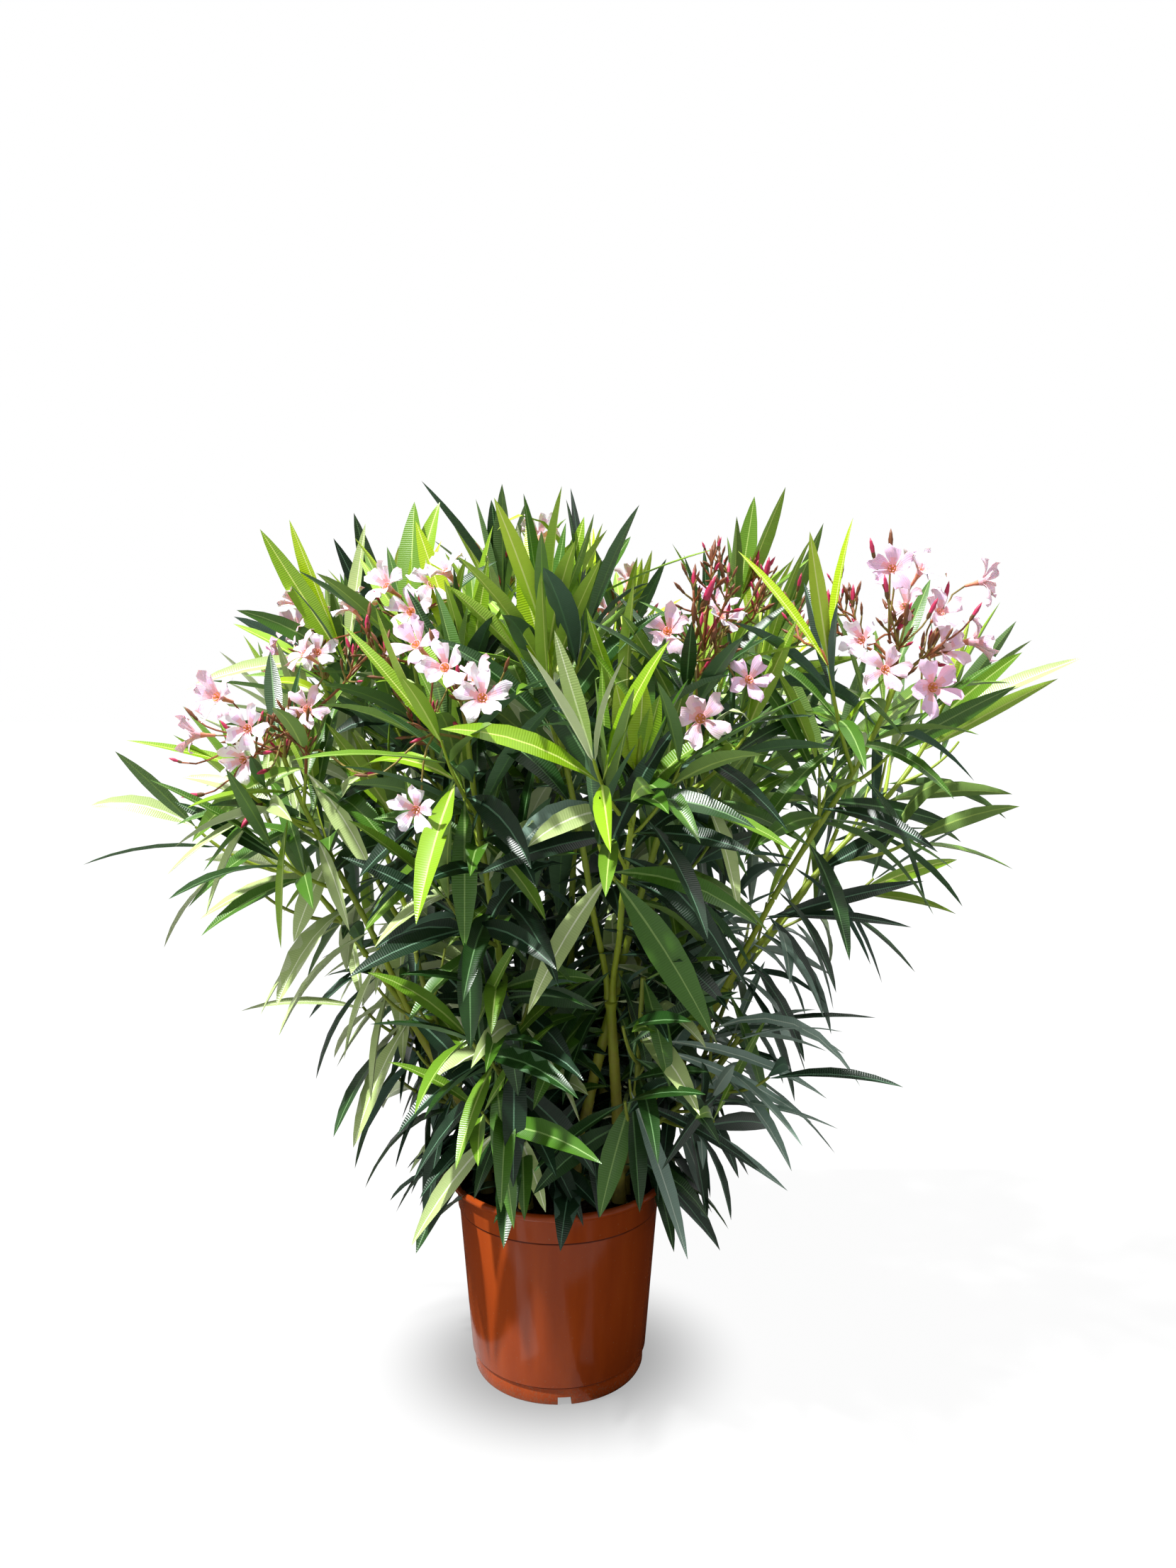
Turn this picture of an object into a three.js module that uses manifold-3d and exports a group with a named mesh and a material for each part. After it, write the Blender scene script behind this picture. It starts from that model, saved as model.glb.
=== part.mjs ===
// Potted oleander: a shrub of many stems in a tapered plastic pot.
// Millimetres, +Z up, origin at the middle of the pot's flat underside.
import * as THREE from "three";
import { mergeVertices } from "three/addons/utils/BufferGeometryUtils.js";
import Module from "manifold-3d";

const wasm = await Module();
wasm.setup();

// ---- driving dimensions ----
const clearance = 0.3; // between solids that rest on each other
const fineness = [1e-3, 1e-4]; // corners nearer than these may be made one corner

const pot = {
  height: 241,
  footRadius: 101, // edge of the flat underside
  skirtRadius: 107, // top of the base skirt
  skirtHeight: 22,
  skirtStep: 1.6, // how far the wall stands proud of the skirt
  bandRadius: 121.5, // wall where the rim band starts
  bandHeight: 203,
  bandStep: 0.8, // how far the band stands proud of the wall
  neckRadius: 124.5, // wall just under the lip
  neckHeight: 229,
  lipRadius: 133.5,
  lipHeight: 9,
  wall: 2.6,
  floor: 3,
  facets: 32,
};

const drain = { count: 4, bearing: -85, width: 16, height: 10, inner: 66, cover: 2.6 };

const soil = { top: 222, edgeDrop: 5, edgeWidth: 14 };

const stemSize = { footRadius: 6.8, topRadius: 5, forkRadius: 6.9, sides: 6, steps: 4 };
const boughSize = { radius: 3.3, tipRadius: 2.9, offset: 3.5, sides: 5, steps: 3 };
const twigSize = { radius: 3.6, tipRadius: 2.7, sides: 3, steps: 3 };
const sideTwig = {
  radius: 1.9,
  tipRadius: 1.6,
  steps: 1,
  count: 2,
  first: 0.24, // share of the main twig at which the first one leaves it
  every: 0.34,
  length: 120,
  lowShare: 0.8, // of that length on a low shoot
  splay: 46,
  turned: 12, // from the middle of a face, at most
  clear: 10, // kept to the middle between two masses
  tries: 6,
};

const leaf = {
  length: 158,
  width: 34,
  thickness: 2.4,
  waist: 0.46, // share of the length at which it is widest
  perWhorl: 3,
  turned: 23, // from the middle of a twig's face, one way and the other in turn
  mainSpan: [0.1, 0.985], // of a main twig, that its whorls are spread over
  sideSpan: [0.45, 0.97],
  whorlSpacing: 93,
  baseAngle: 100, // from the shoot, for the lowest leaves
  tipAngle: 24, // from the shoot, for the topmost leaves
  lowAngle: 122, // the same for the lowest leaves of a low shoot
  baseDroop: 0.75,
  tipDroop: 0.1,
};

const blossom = {
  perHead: 3,
  radius: 26,
  depth: 17,
  notch: 0.5, // reach of the notches between the petals, as a share of the radius
  stalk: 48,
  stalkRadius: 1,
  stalkEvery: 0.05, // of the twig's length, between one stalk's root and the next
  spread: 58,
  nod: 50, // from the stalk's direction
  seat: 6, // from the funnel's middle to where its stalk enters
};

// Share of the way from its foot to its tips at which a stem ends, across and up.
const singleStem = { across: 0.34, up: 0.42 };
const forkedStem = { across: 0.36, up: 0.43 };
const boughShare = 0.3; // share of the way from the fork to the tip that is bare bough

const spaceMargin = 1.4; // kept to the middle between two masses
const limbMargin = 2.2; // kept to stems and boughs

// Each stem: the bearing and reach of its foot, then the bearing, reach and height of the tip
// of each shoot that it carries, with 1 where that shoot flowers, and the same for each low shoot
// on its side, with the ring of the stem that it leaves. Bearings are in degrees.
const stems = [
  { foot: [-36, 90], tips: [[-92, 200, 880, 0], [-72, 280, 780, 0]], low: [[-60, 190, 520, 1]] },
  { foot: [-62, 52], tips: [[-50, 240, 865, 1]], low: [] },
  { foot: [-20, 84], tips: [[-25, 400, 850, 1], [1, 455, 790, 0]], low: [[-30, 235, 440, 1]] },
  { foot: [13, 92], tips: [[12, 360, 650, 0]], low: [[2, 210, 460, 1]] },
  { foot: [22, 48], tips: [[21, 240, 930, 1]], low: [] },
  { foot: [46, 84], tips: [[37, 365, 890, 1], [58, 425, 790, 0]], low: [[56, 255, 570, 2]] },
  { foot: [72, 46], tips: [[72, 280, 900, 1]], low: [] },
  { foot: [88, 90], tips: [[90, 385, 770, 1]], low: [[94, 240, 510, 1]] },
  { foot: [119, 88], tips: [[114, 385, 840, 0], [136, 330, 890, 1]], low: [] },
  { foot: [140, 44], tips: [[122, 140, 950, 1]], low: [] },
  { foot: [157, 90], tips: [[152, 410, 770, 0], [169, 300, 850, 1]], low: [[138, 255, 560, 2]] },
  { foot: [-172, 52], tips: [[-167, 175, 900, 1]], low: [] },
  {
    foot: [-163, 90],
    tips: [[-179, 350, 680, 0], [-159, 325, 775, 1]],
    low: [[-140, 200, 540, 2], [176, 210, 490, 1]],
  },
  { foot: [-118, 78], tips: [[-110, 250, 810, 1]], low: [[-108, 185, 510, 1]] },
  { foot: [60, 12], tips: [[60, 62, 935, 0]], low: [] },
];

const colours = { pot: 0xa34a26, soil: 0x1d150e, stem: 0x7f8d2c, bough: 0x8b9a33, foliage: 0x3f6b2a };

// ---- small helpers ----
const up = new THREE.Vector3(0, 0, 1);
const degrees = Math.PI / 180;

// A repeatable value from 0 to 1 for two whole numbers.
function chance(a, b = 0) {
  const wave = Math.sin(a * 12.9898 + b * 78.233) * 43758.5453;
  return wave - Math.floor(wave);
}

const mix = (a, b, share) => a + (b - a) * share;

function polar(bearing, reach, height) {
  return new THREE.Vector3(
    reach * Math.cos(bearing * degrees),
    reach * Math.sin(bearing * degrees),
    height,
  );
}

const blend = (a, b, share) => a.clone().lerp(b, share).normalize();

// The point that lies a distance on from another in a direction.
const onward = (point, direction, distance) => point.clone().addScaledVector(direction, distance);

// A direction at an angle from an axis, towards a direction square to it.
const aim = (axis, out, angle) =>
  axis.clone().multiplyScalar(Math.cos(angle * degrees)).addScaledVector(out, Math.sin(angle * degrees));

// A direction square to the axis, at a turn round it.
function spoke(axis, turn) {
  const first = new THREE.Vector3(1, 0, 0).cross(axis);
  if (first.lengthSq() < 0.01) first.set(0, 1, 0).cross(axis);
  return first.normalize().applyAxisAngle(axis, turn * degrees);
}

// A smooth curve between two points that leaves and arrives in the given directions.
function bow(start, startDirection, end, endDirection) {
  const handle = start.distanceTo(end) * 0.36;
  return new THREE.CubicBezierCurve3(
    start,
    start.clone().addScaledVector(startDirection, handle),
    end.clone().addScaledVector(endDirection, -handle),
    end,
  );
}

// The closed mesh of a three.js geometry as a manifold-3d solid.
function solidOf(geometry) {
  const bare = geometry.index ? geometry.toNonIndexed() : geometry.clone();
  bare.deleteAttribute("normal");
  bare.deleteAttribute("uv");
  const merged = mergeVertices(bare, 1e-4);
  return new wasm.Manifold(
    new wasm.Mesh({
      numProp: 3,
      vertProperties: merged.attributes.position.array,
      triVerts: new Uint32Array(merged.index.array),
    }),
  );
}

function geometryOf(solid) {
  const mesh = solid.getMesh();
  const geometry = new THREE.BufferGeometry();
  geometry.setAttribute("position", new THREE.BufferAttribute(mesh.vertProperties, 3));
  geometry.setIndex(new THREE.BufferAttribute(mesh.triVerts, 1));
  geometry.computeVertexNormals();
  return geometry;
}

// ---- limbs ----
// A closed cylinder bent along a curve, with its radius given along the way.
function limbGeometry(curve, radiusAt, sides, steps) {
  const geometry = new THREE.CylinderGeometry(1, 1, 1, sides, steps);
  const frames = curve.computeFrenetFrames(steps);
  const position = geometry.attributes.position;
  const vertex = new THREE.Vector3();
  for (let i = 0; i < position.count; i++) {
    vertex.fromBufferAttribute(position, i);
    const step = Math.round((0.5 + vertex.y) * steps);
    const radius = radiusAt(step / steps);
    const centre = curve.getPointAt(step / steps);
    centre.addScaledVector(frames.normals[step], vertex.z * radius);
    centre.addScaledVector(frames.binormals[step], vertex.x * radius);
    position.setXYZ(i, centre.x, centre.y, centre.z);
  }
  return geometry;
}

const tapered = (from, to) => (share) => mix(from, to, share);

// A stem swells into a node where it forks.
const stemRadius = (forks) => (share) =>
  forks && share > 0.99 ? stemSize.forkRadius : mix(stemSize.footRadius, stemSize.topRadius, share);

// ---- the plan of the plant ----
// Works out the curves of every stem, bough and main twig from the table.
function planPlant() {
  const limbs = [];
  const masses = [];
  stems.forEach((row, index) => {
    const label = String(index + 1).padStart(2, "0");
    const foot = polar(...row.foot, soil.top + clearance);
    const tips = row.tips.map(([bearing, reach, height]) => polar(bearing, reach, height));
    const middle = tips.reduce((sum, tip) => sum.add(tip), new THREE.Vector3()).divideScalar(tips.length);
    const forks = tips.length > 1;
    const share = forks ? forkedStem : singleStem;
    const end = new THREE.Vector3(
      mix(foot.x, middle.x, share.across),
      mix(foot.y, middle.y, share.across),
      mix(foot.z, middle.z, share.up),
    );
    const lean = middle.clone().sub(foot).normalize();
    const stemCurve = bow(foot, up, end, lean);
    limbs.push({
      name: "stem_" + label,
      curve: stemCurve,
      radiusAt: stemRadius(forks),
      size: stemSize,
      colour: colours.stem,
    });

    tips.forEach((tip, k) => {
      const letter = forks ? "ab"[k] : "";
      let start = end.clone().addScaledVector(lean, clearance);
      let heading = lean;
      let radius = stemSize.topRadius;
      if (forks) {
        const aside = tip.clone().sub(tips[1 - k]);
        aside.addScaledVector(lean, -aside.dot(lean)).normalize();
        start.addScaledVector(aside, boughSize.offset);
        const boughEnd = start.clone().lerp(tip, boughShare);
        heading = blend(tip.clone().sub(start).normalize(), lean, 0.3);
        limbs.push({
          name: "bough_" + label + letter,
          curve: bow(start, lean, boughEnd, heading),
          radiusAt: tapered(boughSize.radius, boughSize.tipRadius),
          size: boughSize,
          colour: colours.bough,
        });
        start = boughEnd.clone().addScaledVector(heading, clearance);
        radius = boughSize.tipRadius;
      }
      const arrival = blend(tip.clone().sub(start).normalize(), up, 0.4);
      masses.push({
        name: "foliage_" + label + letter,
        curve: bow(start, heading, tip, arrival),
        radius: Math.min(radius, twigSize.radius),
        flowers: row.tips[k][3] === 1,
        low: false,
      });
    });

    row.low.forEach(([bearing, reach, height, ring], k) => {
      const along = ring / stemSize.steps;
      const onStem = stemCurve.getPointAt(along);
      const axis = stemCurve.getTangentAt(along);
      const tip = polar(bearing, reach, height);
      const outward = tip.clone().sub(onStem);
      outward.addScaledVector(axis, -outward.dot(axis)).normalize();
      const gap = stemRadius(forks)(along) + clearance;
      const start = onStem.clone().addScaledVector(outward, gap);
      masses.push({
        name: "foliage_low_" + label + (row.low.length > 1 ? "ab"[k] : ""),
        curve: bow(start, outward, tip, blend(tip.clone().sub(start).normalize(), up, 0.35)),
        radius: twigSize.tipRadius,
        flowers: false,
        low: true,
      });
    });
  });
  return { limbs, masses };
}

// ---- the space that each mass keeps to ----
function segmentsOf(curve, count, owner, radius) {
  const points = curve.getSpacedPoints(count);
  return points.slice(1).map((point, i) => ({ from: points[i], to: point, owner, radius }));
}

const scratch = { ab: new THREE.Vector3(), ap: new THREE.Vector3() };

function distanceTo(segment, point) {
  const ab = scratch.ab.subVectors(segment.to, segment.from);
  const ap = scratch.ap.subVectors(point, segment.from);
  const along = THREE.MathUtils.clamp(ap.dot(ab) / ab.lengthSq(), 0, 1);
  return ap.addScaledVector(ab, -along).length();
}

// True where a point is nearer to its own mass's twigs than to any other's.
function keepsToOwnSpace(point, owner, twigs, margin) {
  let own = Infinity;
  let other = Infinity;
  for (const segment of twigs) {
    const distance = distanceTo(segment, point);
    if (segment.owner === owner) own = Math.min(own, distance);
    else other = Math.min(other, distance);
  }
  return other - own > 2 * margin;
}

function clearOfLimbs(point, limbSegments, margin) {
  return limbSegments.every((segment) => distanceTo(segment, point) > segment.radius + margin);
}

// True outside the pot, with the room over the soil left free for the lowest leaves.
function clearOfPot(point) {
  const reach = Math.hypot(point.x, point.y);
  if (point.z > pot.height + 3) return true;
  if (reach > pot.lipRadius + 4) return point.z > 6;
  return reach < pot.neckRadius - 8 && point.z > soil.top + 4;
}

// ---- leaves ----
// A leaf is an octahedron drawn out to a root, a tip, two edges and two faces, bent at its waist.
function layLeaf(root, direction, side, size, droop) {
  const length = leaf.length * size;
  const width = leaf.width * size;
  const normal = direction.clone().cross(side).normalize();
  const waist = onward(root, direction, length * leaf.waist);
  const fall = onward(direction, up, -droop).normalize();
  const tip = onward(waist, fall, length * (1 - leaf.waist));
  return {
    root,
    tip,
    left: onward(waist, side, -width / 2),
    right: onward(waist, side, width / 2),
    top: onward(waist, normal, leaf.thickness / 2),
    bottom: onward(waist, normal, -leaf.thickness / 2),
    waist,
  };
}

function leafSolid(placed) {
  const geometry = new THREE.OctahedronGeometry(1);
  const position = geometry.attributes.position;
  for (let i = 0; i < position.count; i++) {
    const x = Math.round(position.getX(i));
    const y = Math.round(position.getY(i));
    const z = Math.round(position.getZ(i));
    const corner =
      x > 0 ? placed.tip
      : x < 0 ? placed.root
      : y > 0 ? placed.right
      : y < 0 ? placed.left
      : z > 0 ? placed.top
      : placed.bottom;
    position.setXYZ(i, corner.x, corner.y, corner.z);
  }
  return solidOf(geometry);
}

// Points along a leaf's rib and edges, past the part that is inside its twig.
function leafSamples(placed) {
  const samples = [];
  for (const share of [0.12, 0.35, 0.6, 0.85]) {
    samples.push(placed.root.clone().lerp(placed.left, share));
    samples.push(placed.root.clone().lerp(placed.right, share));
  }
  for (const share of [0, 0.25, 0.5, 0.75, 1]) {
    samples.push(placed.left.clone().lerp(placed.tip, share));
    samples.push(placed.right.clone().lerp(placed.tip, share));
  }
  samples.push(placed.waist);
  return samples;
}

// True where an edge or the rib of one leaf passes through the other leaf.
const ray = new THREE.Ray();
const struck = new THREE.Vector3();

function passesThrough(a, b) {
  const lines = [
    [a.root.clone().lerp(a.waist, 0.1), a.waist],
    [a.waist, a.tip],
    [a.left, a.tip],
    [a.right, a.tip],
    [a.left, a.root.clone().lerp(a.left, 0.1)],
    [a.right, a.root.clone().lerp(a.right, 0.1)],
  ];
  return lines.some(([from, to]) => {
    ray.origin.copy(from);
    ray.direction.subVectors(to, from).normalize();
    const reach = from.distanceTo(to) + 2;
    return [b.root, b.tip].some(
      (end) => ray.intersectTriangle(end, b.left, b.right, false, struck) && struck.distanceTo(from) < reach,
    );
  });
}

// ---- growing a mass ----
// Changes of angle and of size that a leaf tries in turn until it has room.
const leafTries = [
  [0, 1],
  [14, 1],
  [-14, 1],
  [0, 0.82],
  [24, 0.82],
  [-28, 0.85],
  [0, 0.66],
  [30, 0.66],
  [-40, 0.75],
];

// The middle of each of a three-sided twig's faces, turned a little one way and then the other
// from whorl to whorl, so that a leaf's root always comes out through one face.
function faceSpoke(frames, steps, at, face, turned) {
  const step = Math.min(Math.round(at * steps), steps);
  const turn = (60 + 120 * face + turned) * degrees;
  return frames.normals[step]
    .clone()
    .multiplyScalar(Math.cos(turn))
    .addScaledVector(frames.binormals[step], Math.sin(turn));
}

// The side twigs leave the main one through its faces in turn, each moved on until it has room.
function growTwigs(mass, seed, room) {
  const twigs = [
    {
      curve: mass.curve,
      radius: mass.radius,
      tipRadius: Math.min(mass.radius, twigSize.tipRadius),
      steps: twigSize.steps,
      main: true,
    },
  ];
  const frames = mass.curve.computeFrenetFrames(twigSize.steps);
  for (let k = 0; k < sideTwig.count; k++) {
    const at = sideTwig.first + sideTwig.every * k;
    const root = mass.curve.getPointAt(at);
    const axis = mass.curve.getTangentAt(at);
    const length = sideTwig.length * mix(0.8, 1.15, chance(seed, k)) * (mass.low ? sideTwig.lowShare : 1);
    for (let attempt = 0; attempt < sideTwig.tries; attempt++) {
      const face = Math.floor(3 * chance(seed, 9)) + k + attempt;
      const turned = sideTwig.turned * (2 * chance(seed, 10 + attempt) - 1);
      const out = faceSpoke(frames, twigSize.steps, at, face, turned);
      const direction = blend(axis, out, Math.tan(sideTwig.splay * degrees) / 2);
      const end = onward(root, blend(direction, up, 0.25), length);
      const curve = bow(root, direction, end, blend(direction, up, 0.5));
      if (!curve.getSpacedPoints(6).slice(1).every((point) => room(point, sideTwig.clear))) continue;
      const { radius, tipRadius, steps } = sideTwig;
      twigs.push({ curve, radius, tipRadius, steps, main: false });
      break;
    }
  }
  return twigs;
}

// Whorls of three leaves up each twig, erect at its tip and spreading or hanging lower down.
function growLeaves(mass, twigs, seed, room) {
  const leaves = [];
  const baseAngle = mass.low ? leaf.lowAngle : leaf.baseAngle;
  twigs.forEach((twig, t) => {
    const length = twig.curve.getLength();
    const whorls = Math.max(1, Math.round(length / leaf.whorlSpacing));
    const frames = twig.curve.computeFrenetFrames(twig.steps);
    for (let w = 0; w <= whorls; w++) {
      const at = mix(...(twig.main ? leaf.mainSpan : leaf.sideSpan), w / whorls);
      const axis = twig.curve.getTangentAt(at);
      const centre = twig.curve.getPointAt(at);
      const age = mass.low ? 0.8 * at : at;
      for (let i = 0; i < leaf.perWhorl; i++) {
        const key = seed * 31 + t * 101 + w * 7 + i;
        const turned = (w % 2 ? 1 : -1) * leaf.turned + 8 * (chance(key, 1) - 0.5);
        const out = faceSpoke(frames, twig.steps, at, i, turned);
        const angle = mix(baseAngle, leaf.tipAngle, age ** 1.4) + 16 * (chance(key, 2) - 0.5);
        const droop = mix(leaf.baseDroop, leaf.tipDroop, age) * mix(0.6, 1.3, chance(key, 3));
        const size = mix(0.84, 1.06, chance(key, 4));
        const roll = 40 * (chance(key, 5) - 0.5) * degrees;
        const root = onward(centre, out, -0.2 * twig.tipRadius);
        for (const [tilt, scale] of leafTries) {
          const direction = aim(axis, out, angle + tilt);
          const side = axis.clone().cross(out).normalize().applyAxisAngle(direction, roll);
          const placed = layLeaf(root, direction, side, size * scale, droop);
          if (!leafSamples(placed).every((point) => room(point, 0))) continue;
          if (leaves.some((other) => passesThrough(placed, other) || passesThrough(other, placed))) continue;
          leaves.push(placed);
          break;
        }
      }
    }
  });
  return leaves;
}

function twigSolid(twig) {
  return solidOf(limbGeometry(twig.curve, tapered(twig.radius, twig.tipRadius), twigSize.sides, twig.steps));
}

// A head of funnel-shaped five-petalled blossoms, each on its own stalk from the shoot's tip.
function growBlossoms(mass, seed, room) {
  const heads = [];
  if (!mass.flowers) return heads;
  const axis = mass.curve.getTangentAt(1);
  for (let k = 0; k < blossom.perHead; k++) {
    const root = mass.curve.getPointAt(0.99 - blossom.stalkEvery * k);
    const splay = k === 0 ? 6 : blossom.spread * mix(0.8, 1.1, chance(seed, 20 + k));
    const out = spoke(axis, (360 * k) / blossom.perHead + 60 * chance(seed, 30));
    const direction = aim(axis, out, splay);
    const end = onward(root, direction, blossom.stalk * mix(0.85, 1.3, chance(seed, 40 + k)));
    const facing = aim(direction, spoke(direction, 360 * chance(seed, 50 + k)), blossom.nod);
    const back = onward(direction, facing, -direction.dot(facing)).normalize().negate();
    const apex = onward(onward(end, facing, -blossom.depth / 2), back, -blossom.seat);
    const mouth = onward(apex, facing, blossom.depth);
    const rim = [0, 90, 180, 270].map((turn) => onward(mouth, spoke(facing, turn), blossom.radius));
    if ([end, ...rim].every((point) => room(point, 0))) heads.push({ root, end, apex, facing, back });
  }
  return heads;
}

// A blossom is a star-shaped funnel on the end of its stalk.
function headSolid(head) {
  const geometry = new THREE.ConeGeometry(1, 1, 10, 1);
  const position = geometry.attributes.position;
  const across = head.back.clone().applyAxisAngle(head.facing, 18 * degrees);
  const along = head.facing.clone().cross(across);
  for (let i = 0; i < position.count; i++) {
    const turn = Math.atan2(position.getZ(i), position.getX(i));
    const onRim = position.getY(i) < 0;
    const petal = Math.round((turn / Math.PI) * 5 + 10) % 2 === 0;
    const centred = Math.hypot(position.getX(i), position.getZ(i)) < 0.5;
    const reach = centred ? 0 : blossom.radius * (petal ? 1 : blossom.notch);
    const depth = onRim ? blossom.depth * (reach > 0 ? 1 : 0.6) : 0;
    const corner = onward(head.apex, head.facing, depth);
    corner.addScaledVector(across, reach * Math.cos(turn)).addScaledVector(along, reach * Math.sin(turn));
    position.setXYZ(i, corner.x, corner.y, corner.z);
  }
  const stalk = limbGeometry(
    new THREE.LineCurve3(head.root, head.end),
    tapered(blossom.stalkRadius, blossom.stalkRadius),
    twigSize.sides,
    1,
  );
  return solidOf(stalk).add(solidOf(geometry));
}

// The outer skin of the largest body: sealed hollows are filled and loose scraps dropped.
function largestBody(solid) {
  const bodies = solid.decompose();
  return bodies.reduce((best, body) => (body.volume() > best.volume() ? body : best));
}

// True where each edge still has one face on either side once close corners are made one.
function staysClosed(solid, tolerance) {
  const bare = geometryOf(solid);
  bare.deleteAttribute("normal");
  const corners = mergeVertices(bare, tolerance).index.array;
  const edges = new Set();
  for (let i = 0; i < corners.length; i += 3) {
    for (let k = 0; k < 3; k++) {
      const edge = corners[i + k] + "-" + corners[i + ((k + 1) % 3)];
      if (corners[i + k] === corners[i + ((k + 1) % 3)] || edges.has(edge)) return false;
      edges.add(edge);
    }
  }
  return [...edges].every((edge) => edges.has(edge.split("-").reverse().join("-")));
}

// Fuses pieces on to a mass one by one, and leaves out any that would not fuse cleanly.
function fuse(core, pieces) {
  let body = core;
  for (const piece of pieces) {
    const joined = largestBody(body.add(piece));
    if (fineness.every((tolerance) => staysClosed(joined, tolerance))) body = joined;
  }
  return body;
}

// ---- the pot and its soil ----
function lathe(points, facets) {
  const profile = points.map(([radius, height]) => new THREE.Vector2(radius, height));
  return solidOf(new THREE.LatheGeometry(profile, facets).rotateX(Math.PI / 2));
}

// The lip is a half-round roll that stands out from the wall.
function lipProfile() {
  const roll = pot.lipHeight / 2;
  const points = [];
  for (let turn = -90; turn <= 90; turn += 60)
    points.push([
      pot.lipRadius - roll + roll * Math.cos(turn * degrees),
      pot.height - roll + roll * Math.sin(turn * degrees),
    ]);
  return points;
}

function potShell() {
  const inner = (radius) => radius - pot.wall;
  return lathe(
    [
      [0, 0],
      [pot.footRadius, 0],
      [pot.footRadius + 3, 4],
      [pot.skirtRadius - pot.skirtStep, pot.skirtHeight],
      [pot.skirtRadius, pot.skirtHeight + 1],
      [pot.bandRadius, pot.bandHeight],
      [pot.bandRadius + pot.bandStep, pot.bandHeight + 1],
      [pot.neckRadius, pot.neckHeight],
      ...lipProfile(),
      [inner(pot.neckRadius), pot.neckHeight],
      [inner(pot.skirtRadius - pot.skirtStep), pot.skirtHeight],
      [inner(pot.footRadius + 2), pot.floor],
      [0, pot.floor],
    ],
    pot.facets,
  );
}

// Boxes that run in from the foot's edge, one for each drain, grown by a margin.
function drainBoxes(width, height, inner, outer, base) {
  const boxes = [];
  for (let k = 0; k < drain.count; k++) {
    const box = new THREE.BoxGeometry(outer - inner, width, height);
    box.translate((inner + outer) / 2, 0, base + height / 2);
    box.rotateZ((drain.bearing + (360 * k) / drain.count) * degrees);
    boxes.push(solidOf(box));
  }
  return wasm.Manifold.union(boxes);
}

function makePot() {
  const cover = drain.cover;
  const height = drain.height + cover;
  const tunnels = drainBoxes(drain.width + 2 * cover, height, drain.inner - cover, pot.footRadius + 1, 0.5);
  const channels = drainBoxes(drain.width, drain.height, drain.inner, pot.skirtRadius + 5, -1);
  return potShell().add(tunnels).subtract(channels);
}

function makeSoil() {
  const inner = (radius) => radius - pot.wall - clearance;
  const rise = pot.neckHeight - pot.skirtHeight;
  const radiusAt = (height) =>
    inner(mix(pot.skirtRadius - pot.skirtStep, pot.neckRadius, (height - pot.skirtHeight) / rise));
  const edge = soil.top - soil.edgeDrop;
  const body = lathe(
    [
      [0, pot.floor + clearance],
      [inner(pot.footRadius + 2) - clearance, pot.floor + clearance],
      [radiusAt(pot.skirtHeight), pot.skirtHeight],
      [radiusAt(edge), edge],
      [radiusAt(edge) - soil.edgeWidth, soil.top],
      [0, soil.top],
    ],
    pot.facets,
  );
  const room = drain.cover + 2 * clearance;
  const height = drain.height + room + 1;
  const outer = pot.footRadius + 20;
  return body.subtract(drainBoxes(drain.width + 2 * room, height, drain.inner - room, outer, 0));
}

// ---- putting it together ----
function material(colour, roughness) {
  return new THREE.MeshStandardMaterial({ color: colour, roughness, metalness: 0 });
}

const plant = new THREE.Group();

function addNode(name, geometry, colour, roughness) {
  const mesh = new THREE.Mesh(geometry, material(colour, roughness));
  mesh.name = name;
  plant.add(mesh);
}

addNode("pot", geometryOf(makePot()), colours.pot, 0.35);
addNode("soil", geometryOf(makeSoil()), colours.soil, 1);

const { limbs, masses } = planPlant();
for (const { name, curve, radiusAt, size, colour } of limbs)
  addNode(name, limbGeometry(curve, radiusAt, size.sides, size.steps), colour, 0.6);

const limbSegments = limbs.flatMap((limb) => segmentsOf(limb.curve, 8, limb.name, stemSize.forkRadius));
const twigSegments = masses.flatMap((mass) => segmentsOf(mass.curve, 6, mass.name, mass.radius));
const roomFor = (owner) => (point, margin) =>
  clearOfPot(point) &&
  clearOfLimbs(point, limbSegments, limbMargin) &&
  keepsToOwnSpace(point, owner, twigSegments, spaceMargin + margin);

masses.forEach((mass, index) => {
  mass.twigs = growTwigs(mass, index + 1, roomFor(mass.name));
});
for (const mass of masses)
  for (const twig of mass.twigs.slice(1))
    twigSegments.push(...segmentsOf(twig.curve, 3, mass.name, twig.radius));

masses.forEach((mass, index) => {
  const room = roomFor(mass.name);
  const leaves = growLeaves(mass, mass.twigs, index + 1, room);
  const heads = growBlossoms(mass, index + 1, room);
  const [stalk, ...sideTwigs] = mass.twigs.map(twigSolid);
  const body = fuse(stalk, [...sideTwigs, ...leaves.map(leafSolid), ...heads.map(headSolid)]);
  addNode(mass.name, geometryOf(body), colours.foliage, 0.5);
});

export default plant;
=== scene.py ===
import math

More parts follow.
